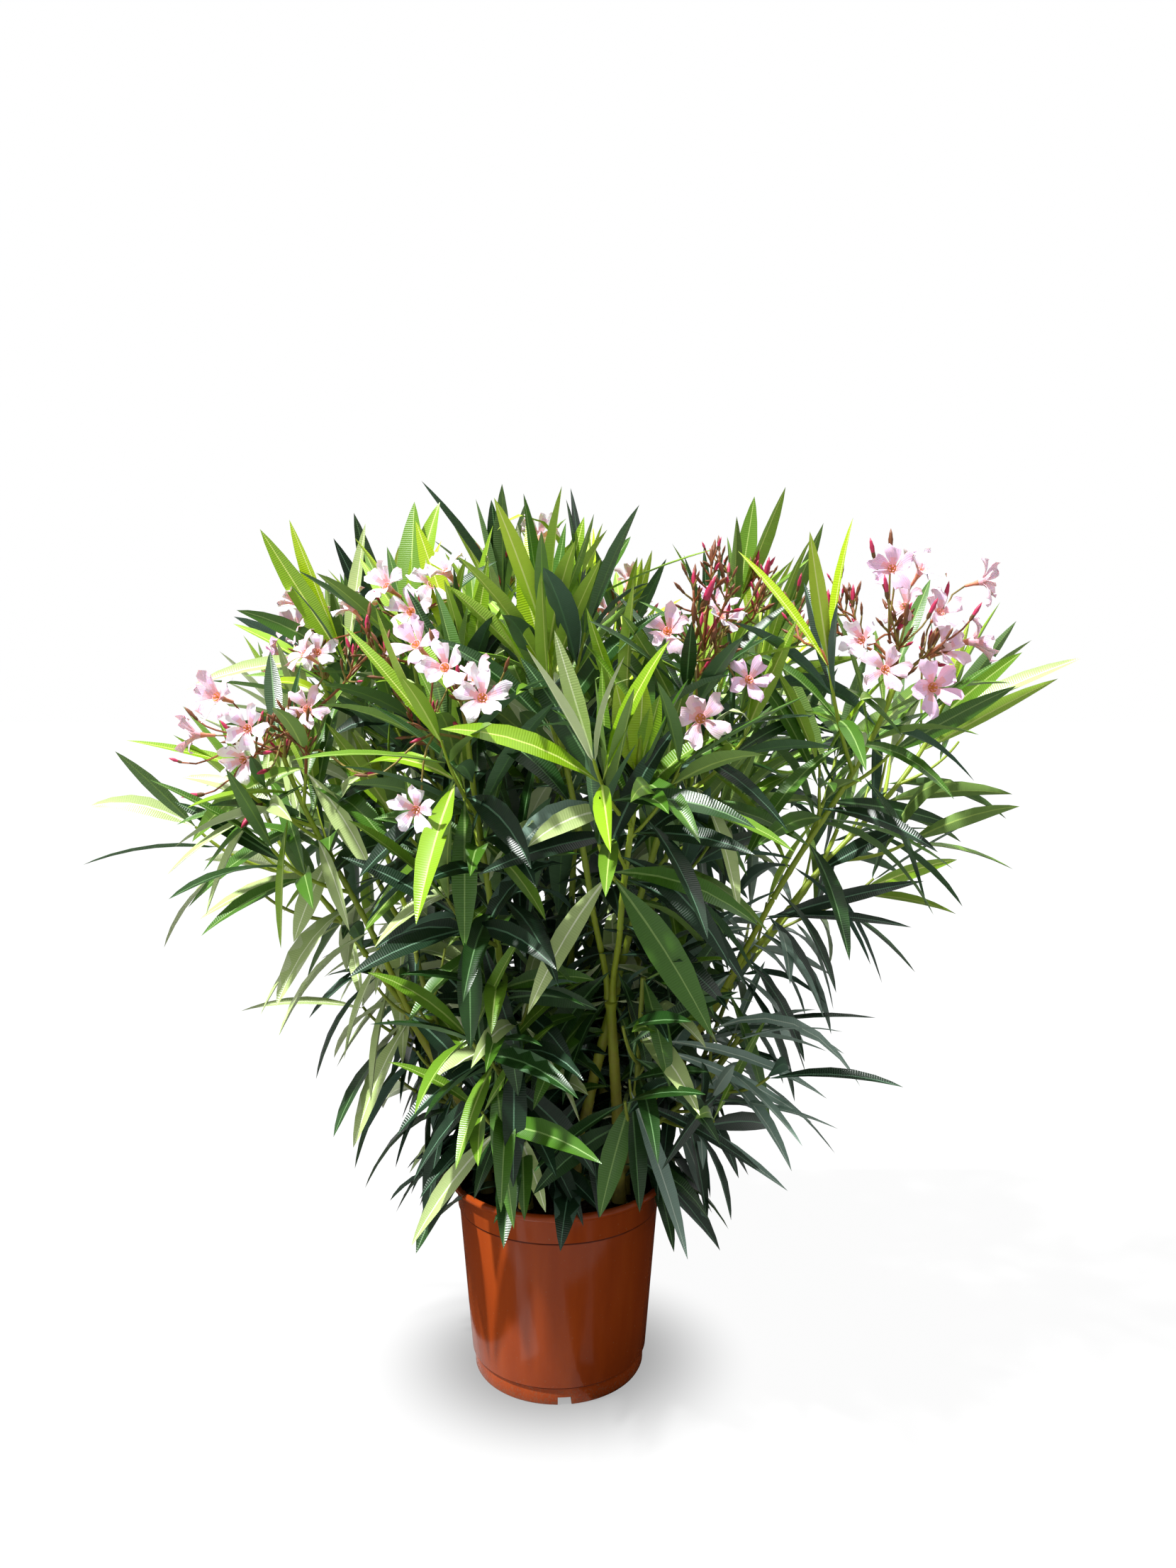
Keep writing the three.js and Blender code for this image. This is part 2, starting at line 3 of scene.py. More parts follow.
import bpy
import numpy as np
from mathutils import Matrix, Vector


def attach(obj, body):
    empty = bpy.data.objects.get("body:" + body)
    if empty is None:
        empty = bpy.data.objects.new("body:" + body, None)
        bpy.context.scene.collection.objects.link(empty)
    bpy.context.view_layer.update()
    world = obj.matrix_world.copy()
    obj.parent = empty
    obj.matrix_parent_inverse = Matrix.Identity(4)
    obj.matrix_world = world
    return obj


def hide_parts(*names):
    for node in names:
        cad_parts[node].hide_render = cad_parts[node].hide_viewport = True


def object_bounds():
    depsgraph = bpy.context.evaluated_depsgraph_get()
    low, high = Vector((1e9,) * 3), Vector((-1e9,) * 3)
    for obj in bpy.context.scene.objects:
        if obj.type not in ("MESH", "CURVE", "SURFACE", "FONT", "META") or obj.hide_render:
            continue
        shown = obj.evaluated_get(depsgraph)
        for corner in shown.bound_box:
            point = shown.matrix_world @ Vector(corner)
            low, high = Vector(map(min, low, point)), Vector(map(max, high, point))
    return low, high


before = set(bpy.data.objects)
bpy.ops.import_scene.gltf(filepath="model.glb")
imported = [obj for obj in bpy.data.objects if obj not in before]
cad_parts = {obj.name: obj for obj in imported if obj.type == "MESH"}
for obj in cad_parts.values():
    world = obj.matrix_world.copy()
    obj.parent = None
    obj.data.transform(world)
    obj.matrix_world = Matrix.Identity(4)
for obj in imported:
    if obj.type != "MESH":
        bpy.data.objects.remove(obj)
cadBox = [list(corner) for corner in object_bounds()]
bpy.ops.object.select_all(action="DESELECT")
print("frame loaded:", len(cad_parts), "nodes")

mm = 0.001
degrees = math.pi / 180
goldenAngle = 137.5  # degrees from one to the next round a shoot
up = np.array([0.0, 0.0, 1.0])


# vectors and curves
def chance(seed, draw=0):  # a repeatable value from 0 to 1; the second number tells a seed's draws apart
    wave = math.sin(seed * 12.9898 + draw * 78.233) * 43758.5453
    return wave - math.floor(wave)


def mix(a, b, share):
    return a + (b - a) * share


def unit(vector):
    return vector / np.linalg.norm(vector)


def blend(a, b, share):
    return unit(mix(a, b, share))


def polar(bearing, reach, height):
    turn = bearing * degrees
    return np.array([reach * math.cos(turn), reach * math.sin(turn), height])


def aim(axis, out, angle):  # at an angle from an axis, towards a direction square to it
    return axis * math.cos(angle * degrees) + out * math.sin(angle * degrees)


def turned(vector, axis, angle):
    sine, cosine = math.sin(angle * degrees), math.cos(angle * degrees)
    return vector * cosine + np.cross(axis, vector) * sine + axis * (axis @ vector) * (1 - cosine)


def spoke(axis, turn):  # a direction square to the axis
    first = np.cross([1.0, 0.0, 0.0], axis)
    if first @ first < 0.01:
        first = np.cross([0.0, 1.0, 0.0], axis)
    return turned(unit(first), axis, turn)


bowShape = {"handle": 0.36, "samples": 4}  # the handles' share of the span, and samples for each step


def bow(start, startDirection, end, endDirection, steps=40):
    # a smooth curve that leaves and arrives in the given directions, as evenly spaced points
    handle = np.linalg.norm(end - start) * bowShape["handle"]
    t = np.linspace(0, 1, steps * bowShape["samples"] + 1)[:, None]
    dense = (
        (1 - t) ** 3 * start
        + 3 * (1 - t) ** 2 * t * (start + startDirection * handle)
        + 3 * (1 - t) * t**2 * (end - endDirection * handle)
        + t**3 * end
    )
    travelled = np.concatenate([[0], np.cumsum(np.linalg.norm(np.diff(dense, axis=0), axis=1))])
    even = np.linspace(0, travelled[-1], steps + 1)
    points = np.column_stack([np.interp(even, travelled, dense[:, k]) for k in range(3)])
    tangents = np.gradient(points, axis=0)
    tangents /= np.linalg.norm(tangents, axis=1)[:, None]
    return {"points": points, "tangents": tangents, "length": travelled[-1]}


def rowAt(rows, share):
    place = min(max(share, 0), 1) * (len(rows) - 1)
    below = min(int(place), len(rows) - 2)
    return mix(rows[below], rows[below + 1], place - below)


def pointAt(curve, share):
    return rowAt(curve["points"], share)


def tangentAt(curve, share):
    return unit(rowAt(curve["tangents"], share))


def framesOf(curve, steps):  # two directions square to the curve at each step, with no twist
    tangents = [tangentAt(curve, k / steps) for k in range(steps + 1)]
    axis = np.zeros(3)
    axis[int(np.argmin(np.abs(tangents[0])))] = 1
    first = unit(np.cross(tangents[0], axis))
    normals = [np.cross(tangents[0], first)]
    for before, after in zip(tangents, tangents[1:]):
        hinge = np.cross(before, after)
        normal = normals[-1]
        if np.linalg.norm(hinge) > 1e-9:
            angle = math.acos(min(max(before @ after, -1), 1)) / degrees
            normal = turned(normal, unit(hinge), angle)
        normals.append(normal)
    return normals, [np.cross(tangent, normal) for tangent, normal in zip(tangents, normals)]


# colours and nodes
def linear(hexColour):  # an sRGB hex value as the linear colour that a shader takes
    channels = [int(hexColour[k : k + 2], 16) / 255 for k in (1, 3, 5)]
    return [c / 12.92 if c <= 0.04045 else ((c + 0.055) / 1.055) ** 2.4 for c in channels] + [1]


def addNode(material, kind, settings, inputs):  # an input is a value, or the output that it is linked to
    node = material.node_tree.nodes.new("ShaderNode" + kind)
    for name, value in settings.items():
        setattr(node, name, value)
    for name, value in inputs.items():
        if isinstance(value, bpy.types.NodeSocket):
            material.node_tree.links.new(value, node.inputs[name])
        else:
            node.inputs[name].default_value = value
    return node


def placeOn(material):
    return addNode(material, "TexCoord", {}, {}).outputs["Object"]


def heightOf(material, place):
    return addNode(material, "SeparateXYZ", {}, {"Vector": place}).outputs["Z"]


def noise(material, place, scale, detail, roughness=0.5):
    inputs = {"Vector": place, "Scale": scale, "Detail": detail, "Roughness": roughness}
    return addNode(material, "TexNoise", {}, inputs).outputs["Fac"]


def reckon(material, operation, *values):
    return addNode(material, "Math", {"operation": operation}, dict(enumerate(values))).outputs[0]


def rescale(material, value, source, result, **settings):  # maps one span of values to another
    spans = dict(zip(("From Min", "From Max", "To Min", "To Max"), (*source, *result)))
    return addNode(material, "MapRange", settings, {"Value": value, **spans}).outputs["Result"]


def mixColours(material, share, first, second):
    shareIn, firstIn, secondIn, colourOut = 0, 6, 7, 2  # the sockets that a Mix node has for colours
    inputs = {shareIn: share, firstIn: first, secondIn: second}
    return addNode(material, "Mix", {"data_type": "RGBA"}, inputs).outputs[colourOut]


def ramp(material, factor, stops):  # a colour ramp from a list of places and hex colours
    node = addNode(material, "ValToRGB", {}, {"Fac": factor})
    while len(node.color_ramp.elements) < len(stops):
        node.color_ramp.elements.new(0.5)
    for element, (place, colour) in zip(node.color_ramp.elements, stops):
        element.position = place
        element.color = linear(colour)
    return node.outputs["Color"]


def finishOf(name, colour, **settings):  # a material whose shader is set by its sockets' names
    material = bpy.data.materials.new(name)
    material.use_nodes = True
    sockets = material.node_tree.nodes["Principled BSDF"].inputs
    sockets["Base Color"].default_value = linear(colour)
    for socket, value in settings.items():
        sockets[socket.replace("_", " ")].default_value = value
    return material


def wire(material, output, socket):  # links an output to the material's shader
    material.node_tree.links.new(output, material.node_tree.nodes["Principled BSDF"].inputs[socket])


def emboss(material, height, strength, depth):  # a relief, its depth in mm
    bump = addNode(material, "Bump", {}, {"Height": height, "Strength": strength, "Distance": depth * mm})
    wire(material, bump.outputs["Normal"], "Normal")
    return material


def addGrain(material, size, depth):  # a fine relief, both in mm
    return emboss(material, noise(material, placeOn(material), 1 / (size * mm), 3), 0.6, depth)


def veined(material, bands, scale, distortion, strength, depth):  # veins by the surface map
    surface = addNode(material, "UVMap", {"uv_map": "surfaceMap"}, {}).outputs["UV"]
    inputs = {"Vector": surface, "Scale": scale, "Distortion": distortion, "Detail": 2}
    veins = addNode(material, "TexWave", {"bands_direction": bands}, inputs).outputs["Fac"]
    return emboss(material, veins, strength, depth)


# meshes from arrays
def newPile():
    return {"verts": [], "faces": [], "slots": [], "uvs": [], "count": 0}


def pileUp(pile, verts, faces, slots, uvs=None):
    uvs = uvs or [(0, 0)] * len(verts)
    for face in faces:
        pile["faces"].append([corner + pile["count"] for corner in face])
        pile["uvs"].extend(uvs[corner] for corner in face)
    pile["verts"].append(np.array(verts))
    pile["slots"].extend(slots)
    pile["count"] += len(verts)


def register(piece, replaced):
    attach(piece, "root")
    if replaced:
        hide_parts(*replaced)
    print(piece.name, len(piece.data.polygons), "faces")


def meshFrom(name, pile, materials, sharpAngle, replaced=()):
    mesh = bpy.data.meshes.new(name)
    mesh.from_pydata((np.concatenate(pile["verts"]) * mm).tolist(), [], pile["faces"])
    mesh.polygons.foreach_set("material_index", pile["slots"])
    layer = mesh.uv_layers.new(name="surfaceMap")
    layer.data.foreach_set("uv", np.array(pile["uvs"], dtype=np.float32).ravel() * mm)
    for material in materials:
        mesh.materials.append(material)
    mesh.polygons.foreach_set("use_smooth", [True] * len(mesh.polygons))
    mesh.set_sharp_from_angle(angle=sharpAngle * degrees)
    mesh.update()
    piece = bpy.data.objects.new(name, mesh)
    bpy.context.scene.collection.objects.link(piece)
    register(piece, replaced)


def ringFaces(rings, sides):  # the quads between rings of points that follow one another
    faces = []
    for ring in range(0, rings * sides, sides):
        for side in range(sides):
            here, after = ring + side, ring + (side + 1) % sides
            faces.append((here, after, after + sides, here + sides))
    return faces


def ringPoints(root, axis, length, radius, profile, sides, twist=0):
    # rings round an axis; the rows of the profile are shares of the length and of the radius
    return [
        root + axis * along * length + spoke(axis, (k + along * twist) * 360 / sides) * share * radius
        for along, share in profile
        for k in range(sides)
    ]


# plan of the plant, the same as the solids'
potSize = {
    "height": 241, "footRadius": 101, "skirtRadius": 107, "skirtHeight": 22, "skirtStep": 3.0,
    "bandRadius": 121.5, "bandHeight": 203, "bandStep": 1.8, "neckRadius": 124.5, "neckHeight": 229,
    "lipRadius": 133.5, "lipHeight": 9, "wall": 2.6, "floor": 3, "sides": 128,
}
drainSize = {"count": 4, "bearing": -85, "width": 16, "height": 10, "inner": 66, "cover": 2.6}
soilSize = {"top": 222, "edgeDrop": 5}

stemSize = {"foot": 6.8, "top": 5, "fork": 6.9, "steps": 4}
boughSize = {"radius": 3.3, "tip": 2.9, "offset": 3.5}
twigSize = {"radius": 3.6, "tip": 2.7, "steps": 3}
clearance = 0.3
singleStem = (0.34, 0.42)  # share of the way to its tips at which a stem ends, across and up
forkedStem = (0.36, 0.43)
boughShare = 0.3

# Each stem's foot, the tips of its shoots, and its low shoots with the step of the stem that each
# leaves: bearings in degrees, then reach and height.
stems = [
    ((-36, 90), [(-92, 200, 880), (-72, 280, 780)], [(-60, 190, 520, 1)]),
    ((-62, 52), [(-50, 240, 865)], []),
    ((-20, 84), [(-25, 400, 850), (1, 455, 790)], [(-30, 235, 440, 1)]),
    ((13, 92), [(12, 360, 650)], [(2, 210, 460, 1)]),
    ((22, 48), [(21, 240, 930)], []),
    ((46, 84), [(37, 365, 890), (58, 425, 790)], [(56, 255, 570, 2)]),
    ((72, 46), [(72, 280, 900)], []),
    ((88, 90), [(90, 385, 770)], [(94, 240, 510, 1)]),
    ((119, 88), [(114, 385, 840), (136, 330, 890)], []),
    ((140, 44), [(122, 140, 950)], []),
    ((157, 90), [(152, 410, 770), (169, 300, 850)], [(138, 255, 560, 2)]),
    ((-172, 52), [(-167, 175, 900)], []),
    ((-163, 90), [(-179, 350, 680), (-159, 325, 775)], [(-140, 200, 540, 2), (176, 210, 490, 1)]),
    ((-118, 78), [(-110, 250, 810)], [(-108, 185, 510, 1)]),
    ((60, 12), [(60, 62, 935)], []),
]


def stemRadius(share):
    return mix(stemSize["foot"], stemSize["top"], share)

def planPlant():
    limbs, masses = [], []

    def addLimb(kind, name, curve, forks):
        limbs.append({"name": f"{kind}_{name}", "curve": curve, "forks": forks, "kind": kind})

    def addMass(name, start, heading, tip, rise, radius, low):
        curve = bow(start, heading, tip, blend(unit(tip - start), up, rise))
        masses.append({"name": "foliage_" + name, "curve": curve, "radius": radius, "low": low})

    for index, (footPlace, tipPlaces, lowPlaces) in enumerate(stems):
        label = f"{index + 1:02d}"
        foot = polar(*footPlace, soilSize["top"] + clearance)
        tips = [polar(*place) for place in tipPlaces]
        middle = sum(tips) / len(tips)
        forks = len(tips) > 1
        across, rise = forkedStem if forks else singleStem
        end = mix(foot, middle, np.array([across, across, rise]))
        lean = unit(middle - foot)
        curve = bow(foot, up, end, lean)
        addLimb("stem", label, curve, forks)
        for k, tip in enumerate(tips):
            name = label + ("ab"[k] if forks else "")
            start, heading, radius = end + lean * clearance, lean, stemSize["top"]
            if forks:
                aside = tip - tips[1 - k]
                start = start + unit(aside - lean * (aside @ lean)) * boughSize["offset"]
                boughEnd = mix(start, tip, boughShare)
                heading = blend(unit(tip - start), lean, 0.3)
                addLimb("bough", name, bow(start, lean, boughEnd, heading), False)
                start, radius = boughEnd + heading * clearance, boughSize["tip"]
            addMass(name, start, heading, tip, 0.4, min(radius, twigSize["radius"]), False)
        for k, (bearing, reach, height, ring) in enumerate(lowPlaces):
            name = "low_" + label + ("ab"[k] if len(lowPlaces) > 1 else "")
            along = ring / stemSize["steps"]
            onStem, axis = pointAt(curve, along), tangentAt(curve, along)
            tip = polar(bearing, reach, height)
            outward = unit((tip - onStem) - axis * ((tip - onStem) @ axis))
            start = onStem + outward * (stemRadius(along) + clearance)
            addMass(name, start, blend(outward, axis, 0.6), tip, 0.35, twigSize["tip"], True)
    return limbs, masses


limbs, masses = planPlant()
print("planned:", len(limbs), "limbs and", len(masses), "masses")


# the room that each mass keeps to
def segmentsOf(curve, count):
    points = np.array([pointAt(curve, k / count) for k in range(count + 1)])
    return points[:-1], points[1:]


def distancesTo(points, starts, ends):
    spans = ends - starts
    along = ((points[:, None] - starts) * spans).sum(2) / (spans**2).sum(1)
    nearest = starts + np.clip(along, 0, 1)[..., None] * spans
    return np.linalg.norm(points[:, None] - nearest, axis=2)


limbSegments = [segmentsOf(limb["curve"], 8) for limb in limbs]
limbStarts, limbEnds = [np.concatenate(ends) for ends in zip(*limbSegments)]
twigSegments = {"starts": [], "ends": [], "owners": []}


def noteTwig(curve, count, owner):
    starts, ends = segmentsOf(curve, count)
    twigSegments["starts"].append(starts)
    twigSegments["ends"].append(ends)
    twigSegments["owners"].append(np.full(count, owner))


for number, mass in enumerate(masses):
    mass["number"] = number
    noteTwig(mass["curve"], 6, number)

room = {
    "limbMargin": 9,  # from the middle of a stem or bough
    "strayIn": 26,  # how far a leaf may pass the middle between two masses
    "boxMargin": 24,  # how far the outermost leaf tips may pass the solids' box
    "topMargin": 8, "lipGap": 5, "soilGap": 4,
    "hangLimit": (188, 224),  # the lowest leaf tips at the sides and in front of the pot
    "hangRise": 0.6,  # by which the front leaves stay higher the further out they are
    "frontHalf": 48,  # degrees each way from the pot's front
    "overLip": 3, "wallGap": 8,
}
boxLow = np.array(cadBox[0]) / mm - room["boxMargin"]
boxHigh = np.array(cadBox[1]) / mm + [room["boxMargin"], room["boxMargin"], room["topMargin"]]


def clearOfPot(points):
    reach = np.hypot(points[:, 0], points[:, 1])
    height = points[:, 2]
    fromFront = np.abs(np.degrees(np.arctan2(points[:, 0], -points[:, 1])))
    beyondLip = np.maximum(reach - potSize["lipRadius"], 0)
    frontLimit = room["hangLimit"][1] + room["hangRise"] * beyondLip
    lowest = np.where(fromFront < room["frontHalf"], frontLimit, room["hangLimit"][0])
    outside = (reach > potSize["lipRadius"] + room["lipGap"]) & (height > lowest)
    over = height > potSize["height"] + room["overLip"]
    within = reach < potSize["neckRadius"] - room["wallGap"]
    within &= height > soilSize["top"] + room["soilGap"]
    return bool(np.all(outside | over | within))


def hasRoom(points, owner, stray):
    if not clearOfPot(points) or np.any(points < boxLow) or np.any(points > boxHigh):
        return False
    if distancesTo(points, limbStarts, limbEnds).min() < room["limbMargin"]:
        return False
    if owner is None:
        return True
    distances = distancesTo(points, twigField["starts"], twigField["ends"])
    own = distances[:, twigField["owners"] == owner].min(1)
    other = distances[:, twigField["owners"] != owner].min(1)
    return bool(np.all(other - own > -2 * stray))


def gatherTwigs():
    return {key: np.concatenate(parts) for key, parts in twigSegments.items()}


twigField = gatherTwigs()

# twigs
sideTwig = {
    "radius": 1.9, "tip": 1.6,
    "count": 2,  # the two that the solids have too
    "first": 0.24, "every": 0.34, "length": 120, "lowShare": 0.8, "splay": 46, "turned": 12,
    "tries": 6,
    "stray": -10,  # how far a twig may pass the middle between two masses
    "seed": 1,
}
fineTwig = {
    "radius": 1.6, "tip": 1.3, "count": 3, "first": 0.34, "every": 0.17, "length": 88,
    "lowShare": 0.85, "splay": 38, "turned": 20, "tries": 6, "stray": 6, "seed": 61,
}


def faceSpoke(frames, at, face, turn):  # square to a three-sided twig, near one of its faces
    step = min(round(at * twigSize["steps"]), twigSize["steps"])
    angle = (60 + 120 * face + turn) * degrees
    return frames[0][step] * math.cos(angle) + frames[1][step] * math.sin(angle)


def growSideTwigs(mass, kind):
    frames = framesOf(mass["curve"], twigSize["steps"])
    seed, grown = mass["number"] + kind["seed"], []
    for k in range(kind["count"]):
        at = kind["first"] + kind["every"] * k
        root, axis = pointAt(mass["curve"], at), tangentAt(mass["curve"], at)
        length = kind["length"] * mix(0.8, 1.15, chance(seed, k))
        length *= kind["lowShare"] if mass["low"] else 1
        for attempt in range(kind["tries"]):
            face = int(3 * chance(seed, 9)) + k + attempt
            turn = kind["turned"] * (2 * chance(seed, 10 + attempt) - 1)
            out = faceSpoke(frames, at, face, turn)
            direction = blend(axis, out, math.tan(kind["splay"] * degrees) / 2)
            end = root + blend(direction, up, 0.25) * length
            curve = bow(root, direction, end, blend(direction, up, 0.5))
            places = np.array([pointAt(curve, share) for share in (0.35, 0.55, 0.75, 1)])
            if hasRoom(places, mass["number"], kind["stray"]):
                grown.append({"curve": curve, "radius": kind["radius"], "tip": kind["tip"], "main": False})
                break
    return grown


for mass in masses:
    tip = min(mass["radius"], twigSize["tip"])
    trunk = {"curve": mass["curve"], "radius": mass["radius"], "tip": tip, "main": True}
    mass["twigs"] = [trunk, *growSideTwigs(mass, sideTwig)]
for mass in masses:
    for twig in mass["twigs"][1:]:
        noteTwig(twig["curve"], 3, mass["number"])
twigField = gatherTwigs()
for mass in masses:
    mass["twigs"] += growSideTwigs(mass, fineTwig)
print("twigs:", sum(len(mass["twigs"]) for mass in masses))
allTwigs = [twig for mass in masses for twig in mass["twigs"]]
allPoints = np.concatenate([part["curve"]["points"] for part in limbs + allTwigs])


def nearestShoot(place, points=allPoints):
    return points[np.argmin(np.linalg.norm(points - place, axis=1))]


# tubes: bark, twigs and flower stalks
def addTube(pile, curve, radiusAt, sides, rings, slot):
    normals, binormals = framesOf(curve, rings)
    verts, uvs = [], []
    for normal, binormal, share in zip(normals, binormals, np.linspace(0, 1, rings + 1)):
        centre = pointAt(curve, share)
        for angle in np.arange(sides) * 2 * math.pi / sides:
            radius = radiusAt(share, angle)
            verts.append(centre + normal * math.cos(angle) * radius + binormal * math.sin(angle) * radius)
            uvs.append((angle * radius, share * curve["length"]))
    faces = ringFaces(rings, sides)
    for k, bulge in ((0, -0.4), (rings, 0.4)):  # each end comes to a blunt point
        share = k / rings
        verts.append(pointAt(curve, share) + tangentAt(curve, share) * bulge * radiusAt(share, 0))
        uvs.append((0, share * curve["length"]))
        for side in range(sides):
            pair = (k * sides + side, k * sides + (side + 1) % sides)
            faces.append((len(verts) - 1, *(pair if k else pair[::-1])))
    pileUp(pile, verts, faces, [slot] * len(faces), uvs)


bark = {
    "sides": 12,
    "ringSpacing": 2.6,  # along the limb, fine enough for a leaf scar
    "scarSpacing": 31,
    "scarHeight": 0.11,  # of the radius
    "scarWidth": 1.8, "ridge": 0.035,
    "swell": 1.08,  # the bark's thickness over the planned limb
    "flare": 0.32,  # of the radius, where the stem leaves the soil
    "flareHeight": 9,
    "forkHeight": 9,  # over which a stem thickens below its fork
    "collar": 1.5,  # by which a bough is thicker where it leaves its stem
    "collarHeight": 8,
    "roundEnd": (3, 3.2),  # how far from its end a limb starts to close, and how soon it has
}


def barkRadius(limb, seed):
    length = limb["curve"]["length"]
    count = max(2, round(length / bark["scarSpacing"]))
    scars = [(k + 0.3 * chance(seed, k)) / count * length for k in range(1, count + 1)]

    def radiusAt(share, angle):
        place = share * length
        if limb["kind"] == "stem":
            radius = stemRadius(share) * (1 + bark["flare"] * math.exp(-place / bark["flareHeight"]))
            if limb["forks"]:
                thicker = stemSize["fork"] - stemSize["top"]
                radius += thicker * math.exp(-((length - place) / bark["forkHeight"]) ** 2)
        else:
            radius = mix(boughSize["radius"], boughSize["tip"], share)
            radius += bark["collar"] * math.exp(-place / bark["collarHeight"])
        relief = sum(math.exp(-(((place - scar) / bark["scarWidth"]) ** 2)) for scar in scars)
        wave = math.sin(3 * angle + seed) * math.sin(place / 13 + seed)
        wave += 0.6 * math.sin(7 * angle + place / 5)
        radius *= bark["swell"] * (1 + bark["scarHeight"] * relief + bark["ridge"] * wave)
        closing, closed = bark["roundEnd"]
        return radius * math.sqrt(max(0.05, 1 - max(0, (place - length + closing) / closed) ** 2))

    return radiusAt


barkPiles = {"stem": newPile(), "bough": newPile()}
for seed, limb in enumerate(limbs):
    rings = round(limb["curve"]["length"] / bark["ringSpacing"])
    addTube(barkPiles[limb["kind"]], limb["curve"], barkRadius(limb, seed), bark["sides"], rings, 0)

# Living bark of a young oleander: smooth and a little waxy, olive brown at the foot, yellow-green above.
stemBark = finishOf("youngGreenBark", "#7d8a2c", Roughness=0.52, Specular_IOR_Level=0.4)
place = placeOn(stemBark)
height = heightOf(stemBark, place)
shifted = reckon(stemBark, "MULTIPLY_ADD", noise(stemBark, place, 70, 4), 0.34, height)
barkTints = [(0.38, "#7d7230"), (0.5, "#9a9434"), (0.66, "#98a82a"), (0.95, "#a5b83a")]
wire(stemBark, ramp(stemBark, shifted, barkTints), "Base Color")
emboss(stemBark, noise(stemBark, place, 420, 5), 0.5, 0.6)  # a 2 mm grain

for kind, pile in barkPiles.items():
    names = [limb["name"] for limb in limbs if limb["kind"] == kind]
    meshFrom(kind + "_bark", pile, [stemBark], 60, names)

twigSkin = {
    "sides": 7, "ringSpacing": 6, "rings": 6, "node": 0.16, "nodeSpacing": 36, "base": 0.6,
    "ripe": 620,  # shoots that end lower than this have the older skin
}
# Green shoots: a smooth waxy skin, a shade browner on the older ones.
youngTwig = addGrain(finishOf("youngTwigSkin", "#97ac30", Roughness=0.45), 2, 0.4)
ripeTwig = addGrain(finishOf("ripeTwigSkin", "#7f8c2c", Roughness=0.5), 2, 0.4)
twigPile = newPile()
for twig in allTwigs:
    curve = twig["curve"]
    rings = max(twigSkin["rings"], round(curve["length"] / twigSkin["ringSpacing"]))

    def twigRadius(share, angle, twig=twig, length=curve["length"]):
        nodes = math.cos(share * length / twigSkin["nodeSpacing"] * 2 * math.pi)
        collar = 1 + twigSkin["node"] * max(0, nodes) ** 8
        return mix(twig["radius"] + twigSkin["base"], twig["tip"], share) * collar

    ripe = int(curve["points"][-1][2] < twigSkin["ripe"])
    addTube(twigPile, curve, twigRadius, twigSkin["sides"], rings, ripe)
meshFrom("twigs", twigPile, [youngTwig, ripeTwig], 60)

# leaf blades
leafShape = {
    "stations": [0.07, 0.17, 0.31, 0.47, 0.63, 0.79, 0.91],
    "widths": [0.15, 0.5, 0.86, 1.0, 0.92, 0.63, 0.32],
    "fold": 0.3,
    "rib": (1.25, 0.4),  # half the pale rib's width, at the root and at the tip
    "thick": (1.5, 0.5),
    "ring": (0, 1, 0, 2, 1, 2),  # the faces round a blade: 0 for its top, 1 for the rib, 2 for beneath
}


def bladeFaces():
    # rings of left edge, two rib lines, right edge and two keel lines, between a root and a tip
    rings, sides = len(leafShape["stations"]), len(leafShape["ring"])
    root, tip = sides * rings, sides * rings + 1
    first = [(root, side, (side + 1) % sides) for side in range(sides)]
    ring = tip - 1 - sides
    last = [(ring + side, tip, ring + (side + 1) % sides) for side in range(sides)]
    between = [(a, d, c, b) for a, b, c, d in ringFaces(rings - 1, sides)]
    return first + between + last


def bladePath(blade):  # the share, place and heading at each station, and at the tip
    point, before, path = blade["root"], 0, []
    for share in leafShape["stations"] + [1]:
        middle = (before + share) / 2
        sag = up * blade["droop"] * middle**1.3 * 1.5
        heading = unit(blade["direction"] - sag - blade["normal"] * blade["curl"] * middle)
        point = point + heading * (share - before) * blade["length"]
        path.append((share, point, heading))
        before = share
    return path


def layBlade(pile, blade, green):
    length, halfWidth = blade["length"], blade["width"] / 2
    path = bladePath(blade)
    verts, uvs = [], []
    for (share, point, heading), widthShare in zip(path, leafShape["widths"]):
        side = unit(blade["side"] - heading * (blade["side"] @ heading))
        side = turned(side, heading, blade["twist"] * share)
        normal = np.cross(heading, side)
        width = halfWidth * widthShare
        rib = mix(*leafShape["rib"], share) * min(1, halfWidth / 10)
        rise = normal * (leafShape["fold"] * width * blade["fold"])
        keel = normal * mix(*leafShape["thick"], share)
        line = [-width, -rib, rib, width, rib, -rib]
        lifts = [rise, 0, 0, rise, -keel, -keel]
        verts += [point + side * across + lift for across, lift in zip(line, lifts)]
        uvs += [(across, share * length) for across in line]
    verts += [blade["root"], path[-1][1]]
    uvs += [(0, 0), (0, length)]
    slots = [3 * green + part for part in leafShape["ring"]] * (len(leafShape["stations"]) + 1)
    pileUp(pile, verts, leafFaces, slots, uvs)


leafFaces = bladeFaces()

